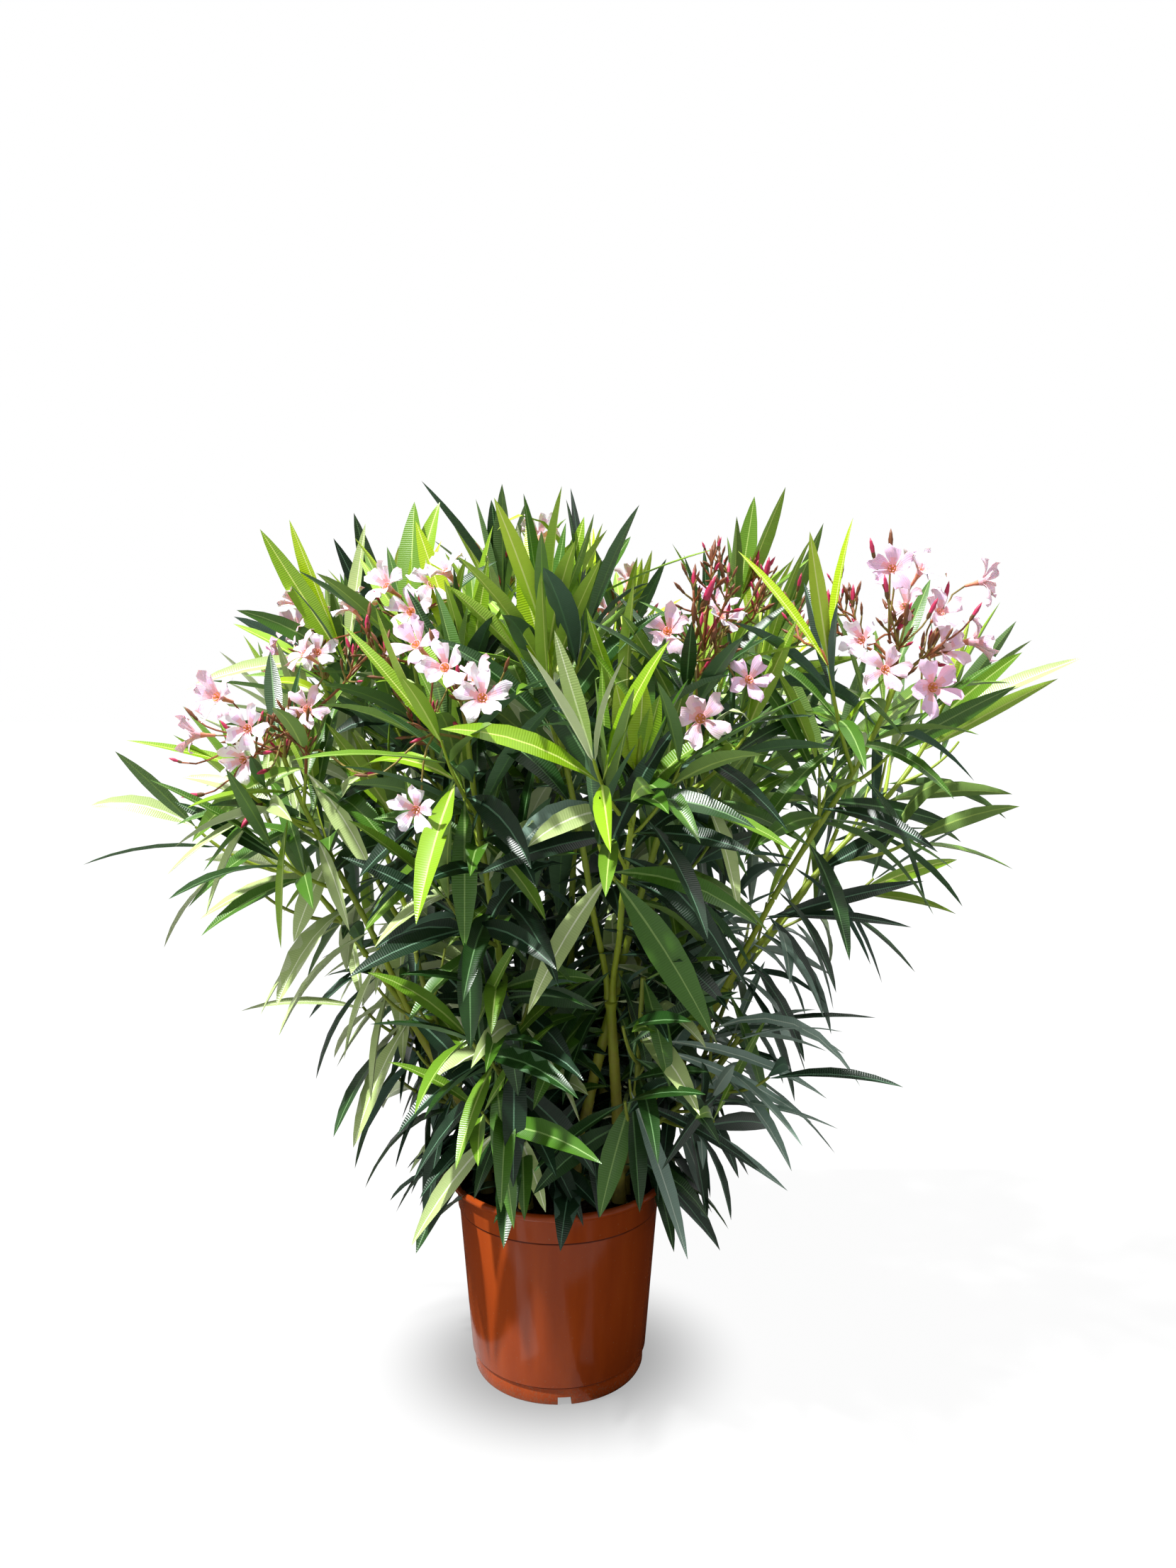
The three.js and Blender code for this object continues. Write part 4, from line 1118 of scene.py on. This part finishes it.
# Leaves in plain sight. Each has where its root starts, which then moves to the nearest shoot, and
# where its tip comes to, then how far it sags, its width beside a common leaf's, and its green.
placedLeaves = [
    # erect, along the top from left to right
    ((-268, 35, 890), (-356, 20, 1018), 0.0, 1.25, 1),
    ((-268, 35, 890), (-322, 25, 1030), 0.0, 1.25, 0),
    ((-237, 229, 880), (-276, 180, 1062), 0.0, 1.3, 4),
    ((-237, 229, 860), (-306, 190, 1030), 0.0, 1.2, 5),
    ((-229, 0, 912), (-168, 0, 1046), 0.05, 1.5, 2),
    ((-235, 10, 900), (-226, 0, 1020), 0.1, 1.1, 6),
    ((-74, 119, 945), (-162, 20, 1074), 0.05, 1.3, 5),
    ((-101, -20, 925), (-140, 10, 1044), 0.3, 1.2, 1),
    ((-101, -60, 908), (-158, -60, 1016), 0.0, 1.45, 0),
    ((-80, 110, 940), (-86, 100, 1066), 0.0, 1.1, 4),
    ((8, 0, 950), (-78, -10, 1036), 0.9, 1.0, 0),
    ((30, 70, 930), (14, 120, 1080), 0.3, 1.0, 5),
    ((60, 40, 930), (88, 40, 1012), 0.0, 1.1, 3),
    ((28, 0, 934), (188, 0, 992), 0.15, 0.9, 1),
    ((215, 90, 925), (246, 100, 1070), 0.0, 1.2, 2),
    ((230, 90, 925), (278, 60, 1074), 0.05, 1.1, 1),
    ((270, 20, 880), (300, 0, 1000), 0.4, 0.7, 1),
    ((330, 200, 900), (352, 190, 1050), 0.0, 1.0, 2),
    ((-7, -200, 850), (32, -190, 1000), 0.05, 1.2, 1),
    ((-12, -200, 830), (-34, -200, 950), 0.0, 1.4, 0),
    ((-14, -200, 820), (-60, -190, 930), 0.1, 1.0, 2),
    # a young pair in front
    ((83, -270, 735), (62, -284, 832), 0.0, 1.2, 0),
    ((85, -270, 735), (88, -290, 838), 0.0, 1.1, 0),
    ((88, -270, 735), (104, -286, 822), 0.0, 1.0, 1),
    # the long arm on the left
    ((-383, -60, 728), (-540, -50, 690), 0.5, 1.0, 6),
    ((-380, -60, 735), (-494, -50, 768), 0.1, 0.7, 1),
    ((-268, -130, 738), (-388, -130, 664), 0.8, 1.2, 2),
    ((-336, -130, 689), (-378, -130, 586), 0.6, 1.1, 6),
    ((-302, -60, 669), (-420, -60, 578), 0.5, 1.0, 3),
    ((-299, -20, 867), (-430, -20, 826), 0.4, 1.0, 6),
    ((-288, 20, 900), (-384, 20, 920), 0.3, 1.0, 3),
    ((-250, -100, 639), (-292, -100, 548), 0.5, 1.3, 6),
    ((-248, -150, 721), (-198, -150, 630), 0.6, 1.2, 6),
    ((-227, -150, 661), (-222, -150, 570), 0.4, 1.2, 6),
    ((-147, -180, 662), (-194, -180, 576), 0.5, 1.1, 2),
    ((-92, -250, 697), (-86, -250, 574), 0.3, 1.2, 3),
    ((-107, -260, 725), (-130, -260, 634), 0.4, 1.2, 3),
    ((-75, -230, 661), (-10, -230, 598), 0.6, 1.0, 2),
    ((19, -270, 710), (-38, -270, 662), 1.2, 1.2, 7),
    ((72, -285, 690), (-18, -290, 678), 0.6, 1.0, 6),
    ((-56, -250, 791), (13, -250, 718), 0.7, 1.5, 4),
    ((-213, -230, 762), (-109, -230, 758), 0.5, 0.8, 6),
    ((-254, -150, 740), (-240, -150, 806), 0.0, 1.0, 2),
    ((-276, -60, 792), (-325, -60, 870), 0.0, 0.9, 4),
    # in front, down to the rim
    ((102, -250, 610), (157, -250, 486), 0.3, 1.6, 3),
    ((96, -230, 540), (118, -230, 426), 0.4, 1.3, 3),
    ((47, -250, 610), (-20, -250, 510), 0.5, 1.2, 6),
    ((-57, -200, 496), (-38, -200, 408), 0.5, 1.4, 4),
    ((-78, -180, 496), (44, -180, 488), 0.5, 1.0, 4),
    ((-99, -180, 505), (42, -180, 520), 0.4, 1.0, 3),
    ((-83, -220, 551), (-84, -220, 464), 0.4, 1.2, 4),
    ((82, -140, 369), (50, -155, 254), 0.3, 1.3, 3),
    ((78, -140, 372), (92, -160, 262), 0.3, 1.1, 4),
    ((60, -120, 360), (-20, -150, 276), 0.5, 1.1, 4),
    ((20, -110, 350), (-40, -145, 262), 0.6, 1.1, 5),
    ((-20, -120, 340), (-12, -148, 256), 0.4, 0.9, 6),
    ((-50, -110, 360), (-88, -140, 268), 0.5, 1.1, 4),
    ((95, -150, 384), (142, -172, 216), 0.3, 1.1, 7),
    ((-98, -130, 358), (-157, -135, 212), 0.4, 1.0, 6),
    # long thin ones that fan out on the right
    ((175, -120, 450), (345, -120, 396), 1.3, 0.8, 7),
    ((133, -130, 438), (312, -130, 373), 0.4, 0.7, 7),
    ((133, -130, 425), (281, -130, 348), 0.3, 0.6, 7),
    ((110, -130, 360), (266, -130, 266), 0.3, 0.7, 7),
    ((100, -130, 372), (232, -130, 286), 0.3, 0.7, 5),
    ((255, -60, 562), (422, -60, 606), 0.1, 0.8, 5),
    ((255, -60, 566), (408, -60, 552), 0.2, 0.6, 5),
    ((321, -60, 686), (458, -60, 670), 0.2, 0.9, 4),
    ((301, -60, 625), (404, -60, 672), 0.1, 1.0, 5),
    ((417, -60, 816), (528, -60, 868), 0.1, 1.1, 2),
    ((430, -60, 810), (596, -60, 862), 0.1, 1.0, 6),
    ((417, -60, 800), (522, -60, 830), 0.1, 1.1, 3),
    ((360, -90, 762), (402, -100, 815), 0.0, 1.6, 2),
]


def placeLeaf(rootGuess, tip, sag, breadth, green, seed):
    root = nearestShoot(rootGuess)
    length = min(np.linalg.norm(tip - root) * (1 + 0.1 * sag), leaf["longest"])
    direction = unit(tip - root)
    outward = unit(np.array([root[0], root[1], 0]))
    facing = unit(outward * 0.5 + [0, -0.8, 0] + up * 0.6)  # the leaf's top turns up and to the front
    side = turned(unit(np.cross(facing, direction)), direction, 60 * (chance(seed, 5) - 0.5))
    blade = {"root": root, "side": side, "length": length, "width": leaf["width"] * breadth, "droop": sag}
    blade |= {"curl": 0, "twist": mix(-24, 24, chance(seed, 13)), "fold": mix(0.3, 1.4, chance(seed, 14))}
    for attempt in range(4):  # until its tip comes to its place
        blade |= {"direction": direction, "normal": np.cross(direction, side)}
        path = bladePath(blade)
        direction = unit(direction + (tip - path[-1][1]) / length)
    layBlade(pileAt(root), blade, green)
    noteRib([path[k][1] for k in (2, 4, 5, 7)])


for seed, (rootGuess, tip, sag, breadth, green) in enumerate(placedLeaves):
    placeLeaf(np.array(rootGuess), np.array(tip), sag, breadth, green, seed + 300)


def rolled(axis, out, direction, spread, key):  # the way a leaf's side points, a little off the level
    return turned(unit(np.cross(axis, out)), direction, spread * (chance(key, 5) - 0.5))


def leafTwig(pile, mass, twig, spray):  # whorls of leaves, from the twig's tip down
    curve = twig["curve"]
    whorls = max(1, round(curve["length"] / leaf["whorlSpacing"]))
    frames = framesOf(curve, twigSize["steps"])
    for w in range(whorls, -1, -1):
        at = mix(*(leaf["mainSpan"] if twig["main"] else leaf["sideSpan"]), w / whorls)
        if twig["main"]:
            at *= bareTips.get(mass["name"], 1)
        axis, centre = tangentAt(curve, at), pointAt(curve, at)
        age = leaf["lowAge"] * at if mass["low"] else at
        for i in range(leaf["perWhorl"]):
            key = spray * 101 + w * 7 + i
            if chance(key, 8) < thinShare.get(mass["name"], 0):
                continue
            turn = (1 if w % 2 else -1) * leaf["turned"] + 14 * (chance(key, 1) - 0.5)
            out = faceSpoke(frames, at, i, turn)
            base = leaf["lowAngle"] if mass["low"] else leaf["baseAngle"]
            angle = mix(base, leaf["tipAngle"], age**1.4) + 22 * (chance(key, 2) - 0.5)
            direction = aim(axis, out, angle)
            droop = mix(leaf["baseDroop"], leaf["tipDroop"], age) * mix(0.5, 1.5, chance(key, 3))
            size = mix(*leaf["size"], chance(key, 4)) * (leaf["lastSize"] if w == whorls else 1)
            side = rolled(axis, out, direction, 40, key)
            root = centre + out * 0.5 * twig["tip"]
            green = greenOf(centre, at, spray * 7 + w)
            breadth = mix(leaf["oldBreadth"], 1, at)
            layLeaf(pile, mass["number"], root, direction, side, size, droop, green, key, breadth)


def leafTip(pile, mass):  # young leaves that stand up round the shoot's tip
    curve = mass["curve"]
    for k in range(tipRosette["whorls"] * leaf["perWhorl"]):
        key = mass["number"] * 53 + k + 70000
        at = mix(*tipRosette["span"], chance(key, 1))
        root, axis = pointAt(curve, at), tangentAt(curve, at)
        out = spoke(axis, goldenAngle * k + 50)
        direction = aim(axis, out, mix(*tipRosette["angle"], chance(key, 2)))
        side = rolled(axis, out, direction, 60, key)
        size, droop = mix(*tipRosette["size"], chance(key, 4)), tipRosette["droop"]
        green = greenOf(root, tipRosette["age"], key)
        layLeaf(pile, mass["number"], root, direction, side, size, droop, green, key)


for mass in masses:
    pile = pileAt(mass["curve"]["points"][-1])
    for t, twig in enumerate(mass["twigs"]):
        leafTwig(pile, mass, twig, mass["number"] * 31 + t)
    if not mass["low"] and mass["name"] not in bareTips:
        leafTip(pile, mass)
print("leaves with those on the twigs:", ribCount // ribMarks)

# old leaves that still hang on the stems, down to the soil
oldLeaf = {
    "first": 26, "spacing": 21, "angle": (70, 126), "droop": (0.5, 1.3), "size": (0.72, 1.04),
    "inward": 0.75,  # how many stay of those that point into the plant
}
for number, limb in enumerate(limbs):
    curve = limb["curve"]
    first = oldLeaf["first"] if limb["kind"] == "stem" else 0
    for w in range(int((curve["length"] - first) / oldLeaf["spacing"])):
        at = (first + w * oldLeaf["spacing"]) / curve["length"]
        axis, centre = tangentAt(curve, at), pointAt(curve, at)
        for i in range(leaf["perWhorl"]):
            key = 90000 + number * 300 + w * 7 + i
            out = spoke(axis, 120 * i + 60 * (w % 2) + 30 * chance(key, 1) + 77 * number)
            if out @ centre < 0 and chance(key, 6) > oldLeaf["inward"]:
                continue
            direction = aim(axis, out, mix(*oldLeaf["angle"], chance(key, 2)))
            side = rolled(axis, out, direction, 40, key)
            size, droop = mix(*oldLeaf["size"], chance(key, 4)), mix(*oldLeaf["droop"], chance(key, 3))
            green = greenOf(centre, 0, number * 11 + w)
            root, pile = centre + out * stemRadius(at) * 0.8, pileAt(centre)
            layLeaf(pile, None, root, direction, side, size, droop, green, key, leaf["oldBreadth"])
print("leaves with those on the stems:", ribCount // ribMarks)

for side, pile in leafPiles.items():
    owners = [mass["name"] for mass in masses if pileAt(mass["curve"]["points"][-1]) is pile]
    meshFrom("leaves_" + side, pile, leafMaterials, 55, owners)

# pot
def turnShape(name, profile, sides):  # a disc that is drawn up from each radius and height to the next
    radius, height = profile[0]
    foot = (0, 0, height * mm)
    bpy.ops.mesh.primitive_circle_add(vertices=sides, radius=radius * mm, fill_type="NGON", location=foot)
    bpy.ops.object.transform_apply(location=True)
    bpy.ops.object.mode_set(mode="EDIT")
    bpy.ops.mesh.select_all(action="SELECT")
    for before, after in zip(profile, profile[1:]):
        rise = (0, 0, (after[1] - before[1]) * mm)
        bpy.ops.mesh.extrude_region_move(TRANSFORM_OT_translate={"value": rise})
        scale = after[0] / before[0]
        bpy.ops.transform.resize(value=(scale, scale, 1), center_override=(0, 0, after[1] * mm))
    bpy.ops.mesh.select_all(action="SELECT")
    bpy.ops.mesh.normals_make_consistent(inside=False)
    bpy.ops.object.mode_set(mode="OBJECT")
    piece = bpy.context.object
    piece.name = name
    return piece


def joinOrCut(piece, operation, bearing, inner, outer, width, base, height):
    # a box that lies along a bearing, between two reaches and from its base up
    length = outer - inner
    bpy.ops.mesh.primitive_cube_add(
        size=1,
        location=polar(bearing, (inner + length / 2) * mm, (base + height / 2) * mm),
        rotation=(0, 0, bearing * degrees),
        scale=(length * mm, width * mm, height * mm),
    )
    bpy.ops.object.transform_apply(location=True, rotation=True, scale=True)
    box = bpy.context.object
    bpy.ops.object.select_all(action="DESELECT")
    bpy.context.view_layer.objects.active = piece
    piece.select_set(True)
    modifier = piece.modifiers.new("boolean", "BOOLEAN")
    modifier.object = box
    modifier.operation = operation
    modifier.solver = "EXACT"
    bpy.ops.object.modifier_apply(modifier=modifier.name)
    bpy.data.objects.remove(box)


# the mould's seams, a fine groove under the skirt's step and under the band, with a dark line of painted
# shade in each
seam = {"width": 1.6, "depth": 1.1, "paintedShade": "#40170a", "share": 0.8, "fade": (0.0004, 0.0013)}
foot, neck, top = potSize["footRadius"], potSize["neckRadius"], potSize["height"]
skirt, skirtFoot = potSize["skirtRadius"], potSize["skirtRadius"] - potSize["skirtStep"]
skirtTop, bandFoot, neckFoot = potSize["skirtHeight"], potSize["bandHeight"], potSize["neckHeight"]
lipRoll = potSize["lipHeight"] / 2
lipMiddle = potSize["lipRadius"] - lipRoll
potProfile = [
    (foot, 0),
    (foot + 1.6, 0.7),
    (foot + 2.6, 2.6),
    (skirtFoot, skirtTop - seam["width"]),
    (skirtFoot - seam["depth"], skirtTop - 0.4),
    (skirt, skirtTop + 1),
    (potSize["bandRadius"], bandFoot - seam["width"]),
    (potSize["bandRadius"] - seam["depth"], bandFoot - 0.4),
    (potSize["bandRadius"] + potSize["bandStep"], bandFoot + 1),
    (neck, neckFoot),
    (neck + 0.6, neckFoot + 2.6),
]
for turn in range(-90, 91, 20):
    lipRise = top - lipRoll + lipRoll * math.sin(turn * degrees)
    potProfile.append((lipMiddle + lipRoll * math.cos(turn * degrees), lipRise))
potProfile += [
    (neck + 2, top - 1.2),
    (neck - 0.2, neckFoot + 6),
    (neck - potSize["wall"], neckFoot),
    (skirtFoot - potSize["wall"], skirtTop),
    (foot - 1, potSize["floor"]),
]
pot = turnShape("pot_shell", potProfile, potSize["sides"])
inner, width, height, cover = [drainSize[key] for key in ("inner", "width", "height", "cover")]
for k in range(drainSize["count"]):
    bearing = drainSize["bearing"] + 360 / drainSize["count"] * k
    joinOrCut(pot, "UNION", bearing, inner - cover, foot + 1, width + 2 * cover, 0.5, height + cover)
    joinOrCut(pot, "DIFFERENCE", bearing, inner, skirt + 5, width, -1, height + 1)
softEdge = pot.modifiers.new("softEdge", "BEVEL")
softEdge.width = 0.35 * mm
softEdge.segments = 2
softEdge.limit_method = "ANGLE"
softEdge.angle_limit = 40 * degrees
bpy.ops.object.modifier_apply(modifier="softEdge")
bpy.ops.object.shade_smooth_by_angle(angle=35 * degrees)

# Injection-moulded polypropylene, terracotta through and through: a soft gloss that wavers down
# the wall where the melt flowed, with a little dried dust near the foot.
potLook = {"Roughness": 0.18, "IOR": 1.49, "Specular_IOR_Level": 0.26}
potPlastic = finishOf("mouldedTerracottaPlastic", "#943d13", **potLook)
place = placeOn(potPlastic)
flow = addNode(potPlastic, "Mapping", {}, {"Vector": place, "Scale": (26, 26, 3.2)}).outputs["Vector"]
streaks = noise(potPlastic, flow, 1.4, 3)
tint = ramp(potPlastic, streaks, [(0.3, "#8b3811"), (0.5, "#943d13"), (0.72, "#9c4316")])
height = heightOf(potPlastic, place)
dustLine = rescale(potPlastic, height, (0.035, 0.0), (0.0, 0.22))
dustShare = reckon(potPlastic, "ADD", noise(potPlastic, place, 330, 6), dustLine)
dusty = rescale(potPlastic, dustShare, (0.66, 0.8), (0.0, 0.5))
potColour = mixColours(potPlastic, dusty, tint, linear("#7a5238"))
# painted shade: a dark line along each groove, as if the step above shaded it
seamShadeShare = 0
for level in (skirtTop - seam["width"] / 2, bandFoot - seam["width"] / 2):
    away = reckon(potPlastic, "ABSOLUTE", reckon(potPlastic, "SUBTRACT", height, level * mm))
    line = rescale(potPlastic, away, seam["fade"], (seam["share"], 0.0))
    seamShadeShare = reckon(potPlastic, "MAXIMUM", line, seamShadeShare)
potColour = mixColours(potPlastic, seamShadeShare, potColour, linear(seam["paintedShade"]))
wire(potPlastic, potColour, "Base Color")
wire(potPlastic, rescale(potPlastic, dusty, (0.0, 0.5), (0.17, 0.5)), "Roughness")
emboss(potPlastic, streaks, 0.4, 2)
pot.data.materials.clear()
pot.data.materials.append(potPlastic)
register(pot, ["pot"])

# soil
soil = {
    "foot": (94, 15), "edge": 118.6, "sides": 96, "middle": 220.68,
    "crumbs": 520, "chips": 34, "crumbSize": (1.2, 3.6), "chipSize": (3, 7),
    "crumbEdge": 7,  # how far crumbs stay from the soil's edge
    "crumbSunk": 1.6,
    "crumbDrop": (106, 14),  # where the crumbs start to lie lower, and how far it is to where they are lowest
}
soilRim = soilSize["top"] - soilSize["edgeDrop"]
soilTop = turnShape("soil_peat", [soil["foot"], (soil["edge"], soilRim)], soil["sides"])
bpy.ops.object.mode_set(mode="EDIT")
bpy.ops.mesh.poke()
bpy.ops.mesh.select_all(action="DESELECT")
bpy.ops.object.mode_set(mode="OBJECT")
for vertex in soilTop.data.vertices:  # the middle of the top rises a little over its rim
    x, y, z = vertex.co
    if z > (soilRim - 1) * mm and math.hypot(x, y) < mm:
        vertex.co.z = soil["middle"] * mm
soilTop.data.update()
bpy.ops.object.shade_smooth()

crumbPile = newPile()
crumbCorners = np.array([[1, 0, 0], [-1, 0, 0], [0, 1, 0], [0, -1, 0], [0, 0, 1], [0, 0, -1.0]])
crumbFaces = [(0, 2, 4), (2, 1, 4), (1, 3, 4), (3, 0, 4), (2, 0, 5), (1, 2, 5), (3, 1, 5), (0, 3, 5)]
for k in range(soil["crumbs"] + soil["chips"]):
    isChip = k >= soil["crumbs"]
    size = mix(*soil["chipSize" if isChip else "crumbSize"], chance(k, 3) ** 2)
    reach, turn = (soil["edge"] - soil["crumbEdge"]) * math.sqrt(chance(k, 4)), 360 * chance(k, 5)
    fallsFrom, fallWidth = soil["crumbDrop"]
    drop = soilSize["edgeDrop"] * max(0, (reach - fallsFrom) / fallWidth)
    middle = polar(turn, reach, soilSize["top"] - soil["crumbSunk"] - drop)
    stretch = np.array([mix(0.7, 1.3, chance(k, 6)), mix(0.6, 1.2, chance(k, 7)), 0.4 if isChip else 0.8])
    spin, tilt, hinge = 360 * chance(k, 8), 30 * chance(k, 9), unit(polar(turn, 1, 0))
    corners = crumbCorners * (stretch * size)
    corners = [turned(turned(corner, up, spin), hinge, tilt) + middle for corner in corners]
    pileUp(crumbPile, corners, crumbFaces, [int(isChip)] * len(crumbFaces))

# Damp peat potting soil, nearly black, with crumbs and a few pale wood chips.
peat = finishOf("dampPeat", "#21170f", Roughness=0.95, Specular_IOR_Level=0.2)
clods = noise(peat, placeOn(peat), 190, 8, 0.7)
wire(peat, ramp(peat, clods, [(0.34, "#120c08"), (0.52, "#271b12"), (0.7, "#43311f")]), "Base Color")
emboss(peat, clods, 0.9, 3)
crumbDark = addGrain(finishOf("peatCrumb", "#2b1e14", Roughness=0.95), 1.2, 0.8)
chipPale = addGrain(finishOf("barkChip", "#8a7355", Roughness=0.85), 1.6, 0.6)
soilTop.data.materials.append(peat)
register(soilTop, ["soil"])
meshFrom("soil_crumbs", crumbPile, [crumbDark, chipPale], 20)

# studio
studio = {
    "floorSize": 60, "camera": (36, -1355, 823), "pitch": 4.6, "lens": 26.04, "sensor": 36,
    "ambient": 0.42,
    # the floor's own glow by its distance from the pot, and its paint, where the camera sees it: a white
    # sweep whose glow dims round the pot's foot, a painted soft shadow
    "floorGlow": ((0.07, 0.25), (0.36, 0.97)),
    "floorStretch": (1, 1.1, 1), "floorPaint": (0.26, 0.03), "floorLampHeight": 0.004,
}
white = (1, 1, 1, 1)


def vectorMath(material, operation, inputs, output):
    return addNode(material, "VectorMath", {"operation": operation}, inputs).outputs[output]


def seenByCamera(material):
    return addNode(material, "LightPath", {}, {}).outputs["Is Camera Ray"]


bpy.ops.mesh.primitive_plane_add(size=studio["floorSize"], location=(0, 0, 0))
floor = bpy.context.object
floor.name = "studioFloor"
floorLook = {"Roughness": 0.9, "Specular_IOR_Level": 0.1, "Emission_Color": white}
floorPaint = finishOf("paleStudioFloor", "#fbfbfa", **floorLook)
seen = seenByCamera(floorPaint)
oval = vectorMath(floorPaint, "MULTIPLY", {0: placeOn(floorPaint), 1: studio["floorStretch"]}, "Vector")
fromPot = vectorMath(floorPaint, "LENGTH", {0: oval}, "Value")
# painted shadow: the camera sees the floor glow less near the pot
glow = rescale(floorPaint, fromPot, *studio["floorGlow"], interpolation_type="SMOOTHSTEP")
wire(floorPaint, reckon(floorPaint, "MULTIPLY", glow, seen), "Emission Strength")
wire(floorPaint, rescale(floorPaint, seen, (0, 1), studio["floorPaint"]), "Base Color")
floor.data.materials.append(floorPaint)

world = bpy.data.worlds.new("studioWorld")
world.use_nodes = True
backdrop = world.node_tree.nodes["Background"]
backdrop.inputs["Color"].default_value = white
strength = rescale(world, seenByCamera(world), (0, 1), (studio["ambient"], 1))
world.node_tree.links.new(strength, backdrop.inputs["Strength"])
bpy.context.scene.world = world


def setUp(device, place, rotation):  # a lamp or the camera
    holder = bpy.data.objects.new(device.name, device)
    holder.location = place
    holder.rotation_euler = rotation
    bpy.context.scene.collection.objects.link(holder)
    return holder


def towards(place, target):  # the rotation of a lamp that shines from its place to its target
    way = np.array(target) - np.array(place)
    pitch = math.atan2(math.hypot(way[0], way[1]), -way[2])
    return (pitch, 0, math.atan2(-way[0], way[1]))


def areaLamp(name, width, tall, power):
    lamp = bpy.data.lights.new(name, "AREA")
    lamp.shape = "RECTANGLE"
    lamp.size = width
    lamp.size_y = tall
    lamp.energy = power
    return lamp


# broad lights, each with its place, its spread in degrees and its strength
for name, place, spread, strength in [
    ("keyLight", (-1.2, -0.8, 3.0), 2.5, 6.3),
    ("topLight", (0.9, 0.2, 3.0), 70, 1.5),
]:
    lamp = bpy.data.lights.new(name, "SUN")
    lamp.angle = spread * degrees
    lamp.energy = strength
    setUp(lamp, place, towards(place, (0, 0, 0.5)))

# a tall strip that draws a soft upright highlight on the pot, and a low fill from the left that
# doesn't show in the gloss: place, width, height and power
for name, place, width, tall, power, inGloss in [
    ("stripLeft", (-1.3, -1.6, 0.75), 0.34, 1.3, 2, True),
    ("fillLeft", (-1.1, -0.75, 0.3), 1.0, 0.5, 1.5, False),
]:
    holder = setUp(areaLamp(name, width, tall, power), place, towards(place, (0, 0, 0.2)))
    holder.visible_glossy = inGloss

# glow strips that lie on the floor and shine up, which the pot's wall mirrors as soft upright bands:
# where each starts by the pot, its bearing, width, length and power
for name, start, bearing, width, long, power in [
    ("glowLeft", (-0.06, -0.14, 0), -138, 0.05, 0.42, 0.07),
    ("glowRight", (0.06, -0.13, 0), -52, 0.03, 0.4, 0.012),
]:
    middle = start + polar(bearing, long / 2, studio["floorLampHeight"])
    holder = setUp(areaLamp(name, long, width, power), middle, (math.pi, 0, bearing * degrees))
    holder.visible_camera = False

# dark cards that lie on the floor out of the camera's sight: the right one keeps the pot's right side
# dim, the left one shows only in its gloss
cardPaint = finishOf("darkStudioCard", "#2a211c", Roughness=0.9, Specular_IOR_Level=0.1)
for name, place, size, dims in [
    ("studioCardRight", (0.5, 0.1, 0.003), (0.92, 0.9, 1), True),
    ("studioCardLeft", (-0.56, 0.2, 0.003), (0.84, 1.0, 1), False),
]:
    bpy.ops.mesh.primitive_plane_add(size=1, location=place)
    card = bpy.context.object
    card.name = name
    bpy.ops.transform.resize(value=size)
    bpy.ops.object.transform_apply(location=True, rotation=False, scale=True)
    card.data.materials.append(cardPaint)
    card.visible_camera = False
    card.visible_diffuse = dims
    card.visible_shadow = False

camera = bpy.data.cameras.new("studioCamera")
camera.lens = studio["lens"]
camera.sensor_width = studio["sensor"]
cameraHolder = setUp(camera, np.array(studio["camera"]) * mm, ((90 - studio["pitch"]) * degrees, 0, 0))
bpy.context.scene.camera = cameraHolder
bpy.context.scene.view_settings.view_transform = "Standard"
print("studio ready")
